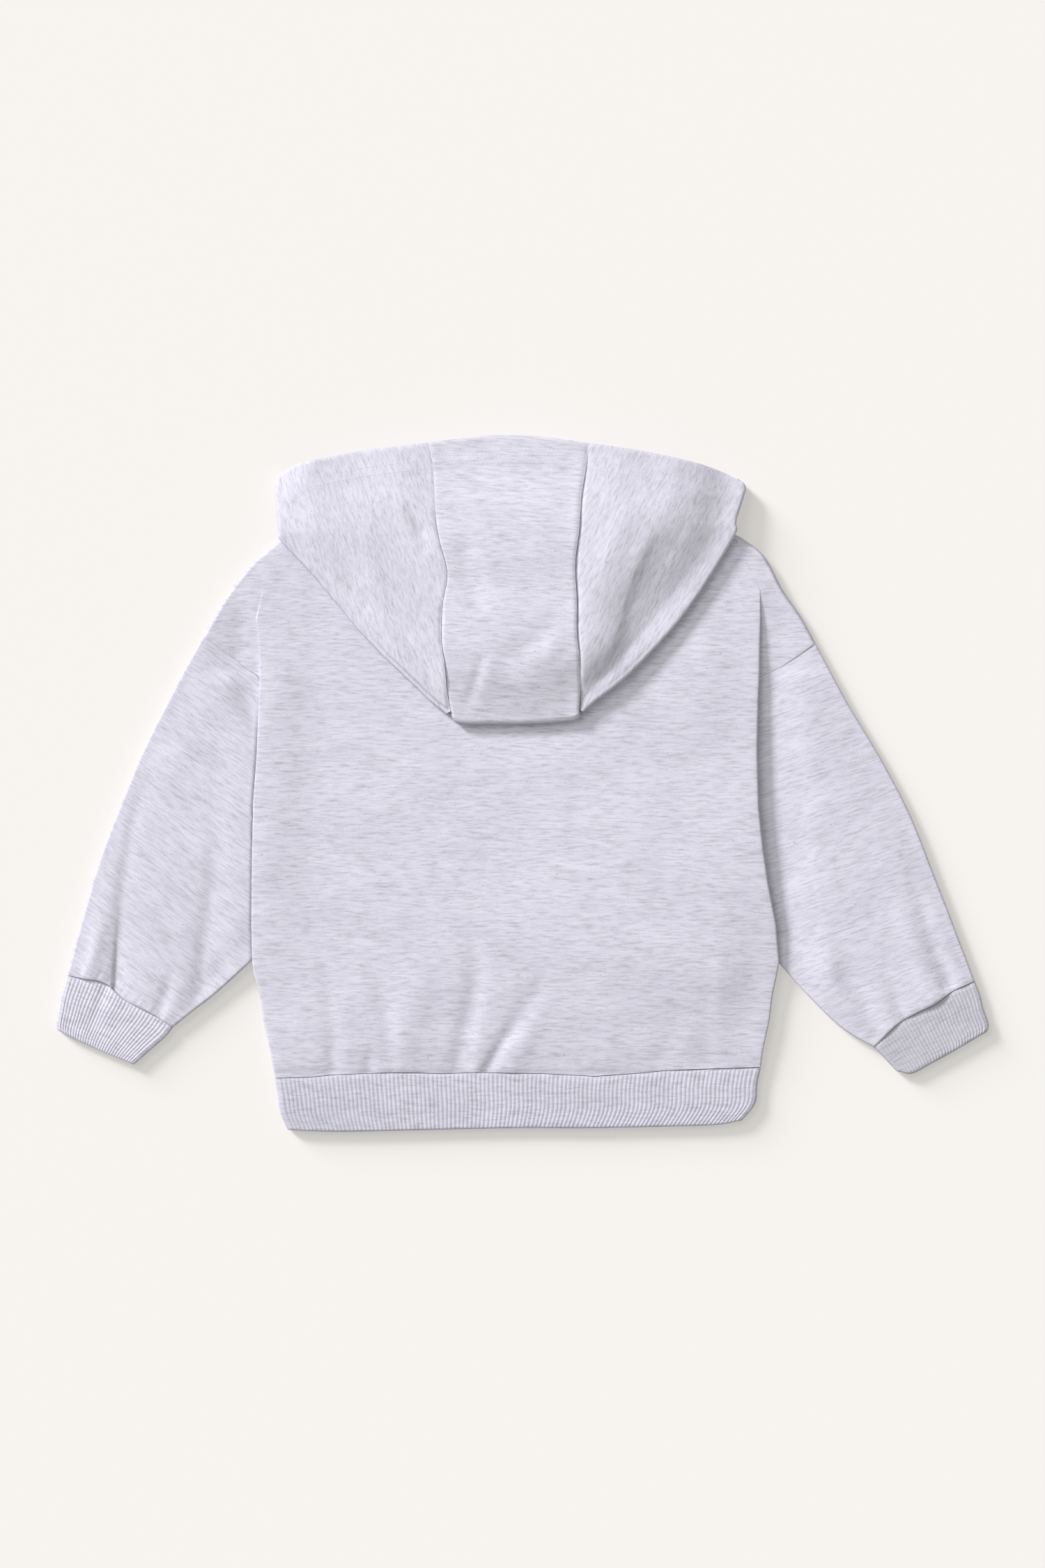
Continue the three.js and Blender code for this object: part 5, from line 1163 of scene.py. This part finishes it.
def hem_row(opening, depth, start=0.0, end=1.0):
    """A line that runs beside the hood's opening, a given depth down from it."""
    line = curve(opening)
    t = np.linspace(start, end, 80)
    p = line.at(t)
    d = units(line.at(np.minimum(t + 0.01, 1)) - line.at(np.maximum(t - 0.01, 0)))
    normal = np.stack([d[:, 1], -d[:, 0]], -1)
    normal *= np.where(normal[:, 1] > 0, -1, 1)[:, None]
    return p + normal * depth


needle_rows = [
    [(-62, 234.8), (-30, 235.4), (10, 235.2), (42, 234.4)],
    [(-61, 228.9), (-30, 229.5), (10, 229.3), (41, 228.6)],
]
for depth in (12.5, 18.5):
    needle_rows.append(hem_row(mirror(HOOD_LEFT["opening"], -1), depth, 0.03, 0.8))
    needle_rows.append(hem_row(mirror(HOOD_RIGHT["opening"], 1), depth, 0.03, 0.8))
topstitch = stitches("hood_topstitch", needle_rows, (side_left, strip, side_right))

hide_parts("front_panel")
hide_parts("back_panel")
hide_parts("sleeve_left")
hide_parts("sleeve_right")
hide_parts("cuff_left")
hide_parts("cuff_right")
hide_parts("hem_band")
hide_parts("hood_left")
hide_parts("hood_centre")
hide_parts("hood_right")

# Floor, light and camera
floor_mesh = bpy.data.meshes.new("floor")
floor_mesh.from_pydata([(-6, -6, 0), (6, -6, 0), (6, 6, 0), (-6, 6, 0)], [], [(0, 1, 2, 3)])
floor = add("floor", floor_mesh)
floor.location.z = -0.0002
PAPER = (0.93, 0.905, 0.87)
GLOW = 0.55  # share of the floor's light that it gives out itself, so that it throws less on the cloth
FLOOR_SHARE = 0.3  # what the lamp for the floor's soft shade adds
paper, _, _, paper_shader = new_material("floor_paper", 0.9)
paper_shader.inputs["Base Color"].default_value = (*(v * (1 - GLOW) for v in PAPER), 1)
paper_shader.inputs["Specular IOR Level"].default_value = 0.1
paper_shader.inputs["Emission Color"].default_value = (*PAPER, 1)
paper_shader.inputs["Emission Strength"].default_value = GLOW - (1 - GLOW) * FLOOR_SHARE
floor_mesh.materials.append(paper)

KEY_TURN = math.radians(138)
SUN_TINT = (1, 1, 1.04)
FILL_TINT = (1, 1, 0.945)


def sun(name, height, softness, share, only=None):
    """A lamp from the upper left that gives the given share of a flat surface's light, or of one object's."""
    height = math.radians(height)
    data = bpy.data.lights.new(name, "SUN")
    data.energy = share * math.pi / math.sin(height)
    data.angle = math.radians(softness)
    data.color = SUN_TINT
    lamp = add(name, data)
    lamp.rotation_euler = (0, math.pi / 2 - height, KEY_TURN)
    if only:
        lit = bpy.data.collections.new(name + "_lit")
        lit.objects.link(only)
        lamp.light_linking.receiver_collection = lit


sun("key_low", 23, 12, 0.4)
sun("key_high", 50, 30, 0.18)
sun("floor_shade", 12, 22, FLOOR_SHARE, floor)

world = bpy.data.worlds.new("studio")
world.use_nodes = True
world.node_tree.nodes["Background"].inputs["Color"].default_value = (*FILL_TINT, 1)
world.node_tree.nodes["Background"].inputs["Strength"].default_value = 0.42
bpy.context.scene.world = world
bpy.context.scene.view_settings.view_transform = "Standard"

camera_data = bpy.data.cameras.new("camera")
camera_data.sensor_width = 36
camera_data.lens = 96
camera = add("camera", camera_data)
camera.location = (0, 0, 3.006)
bpy.context.scene.camera = camera
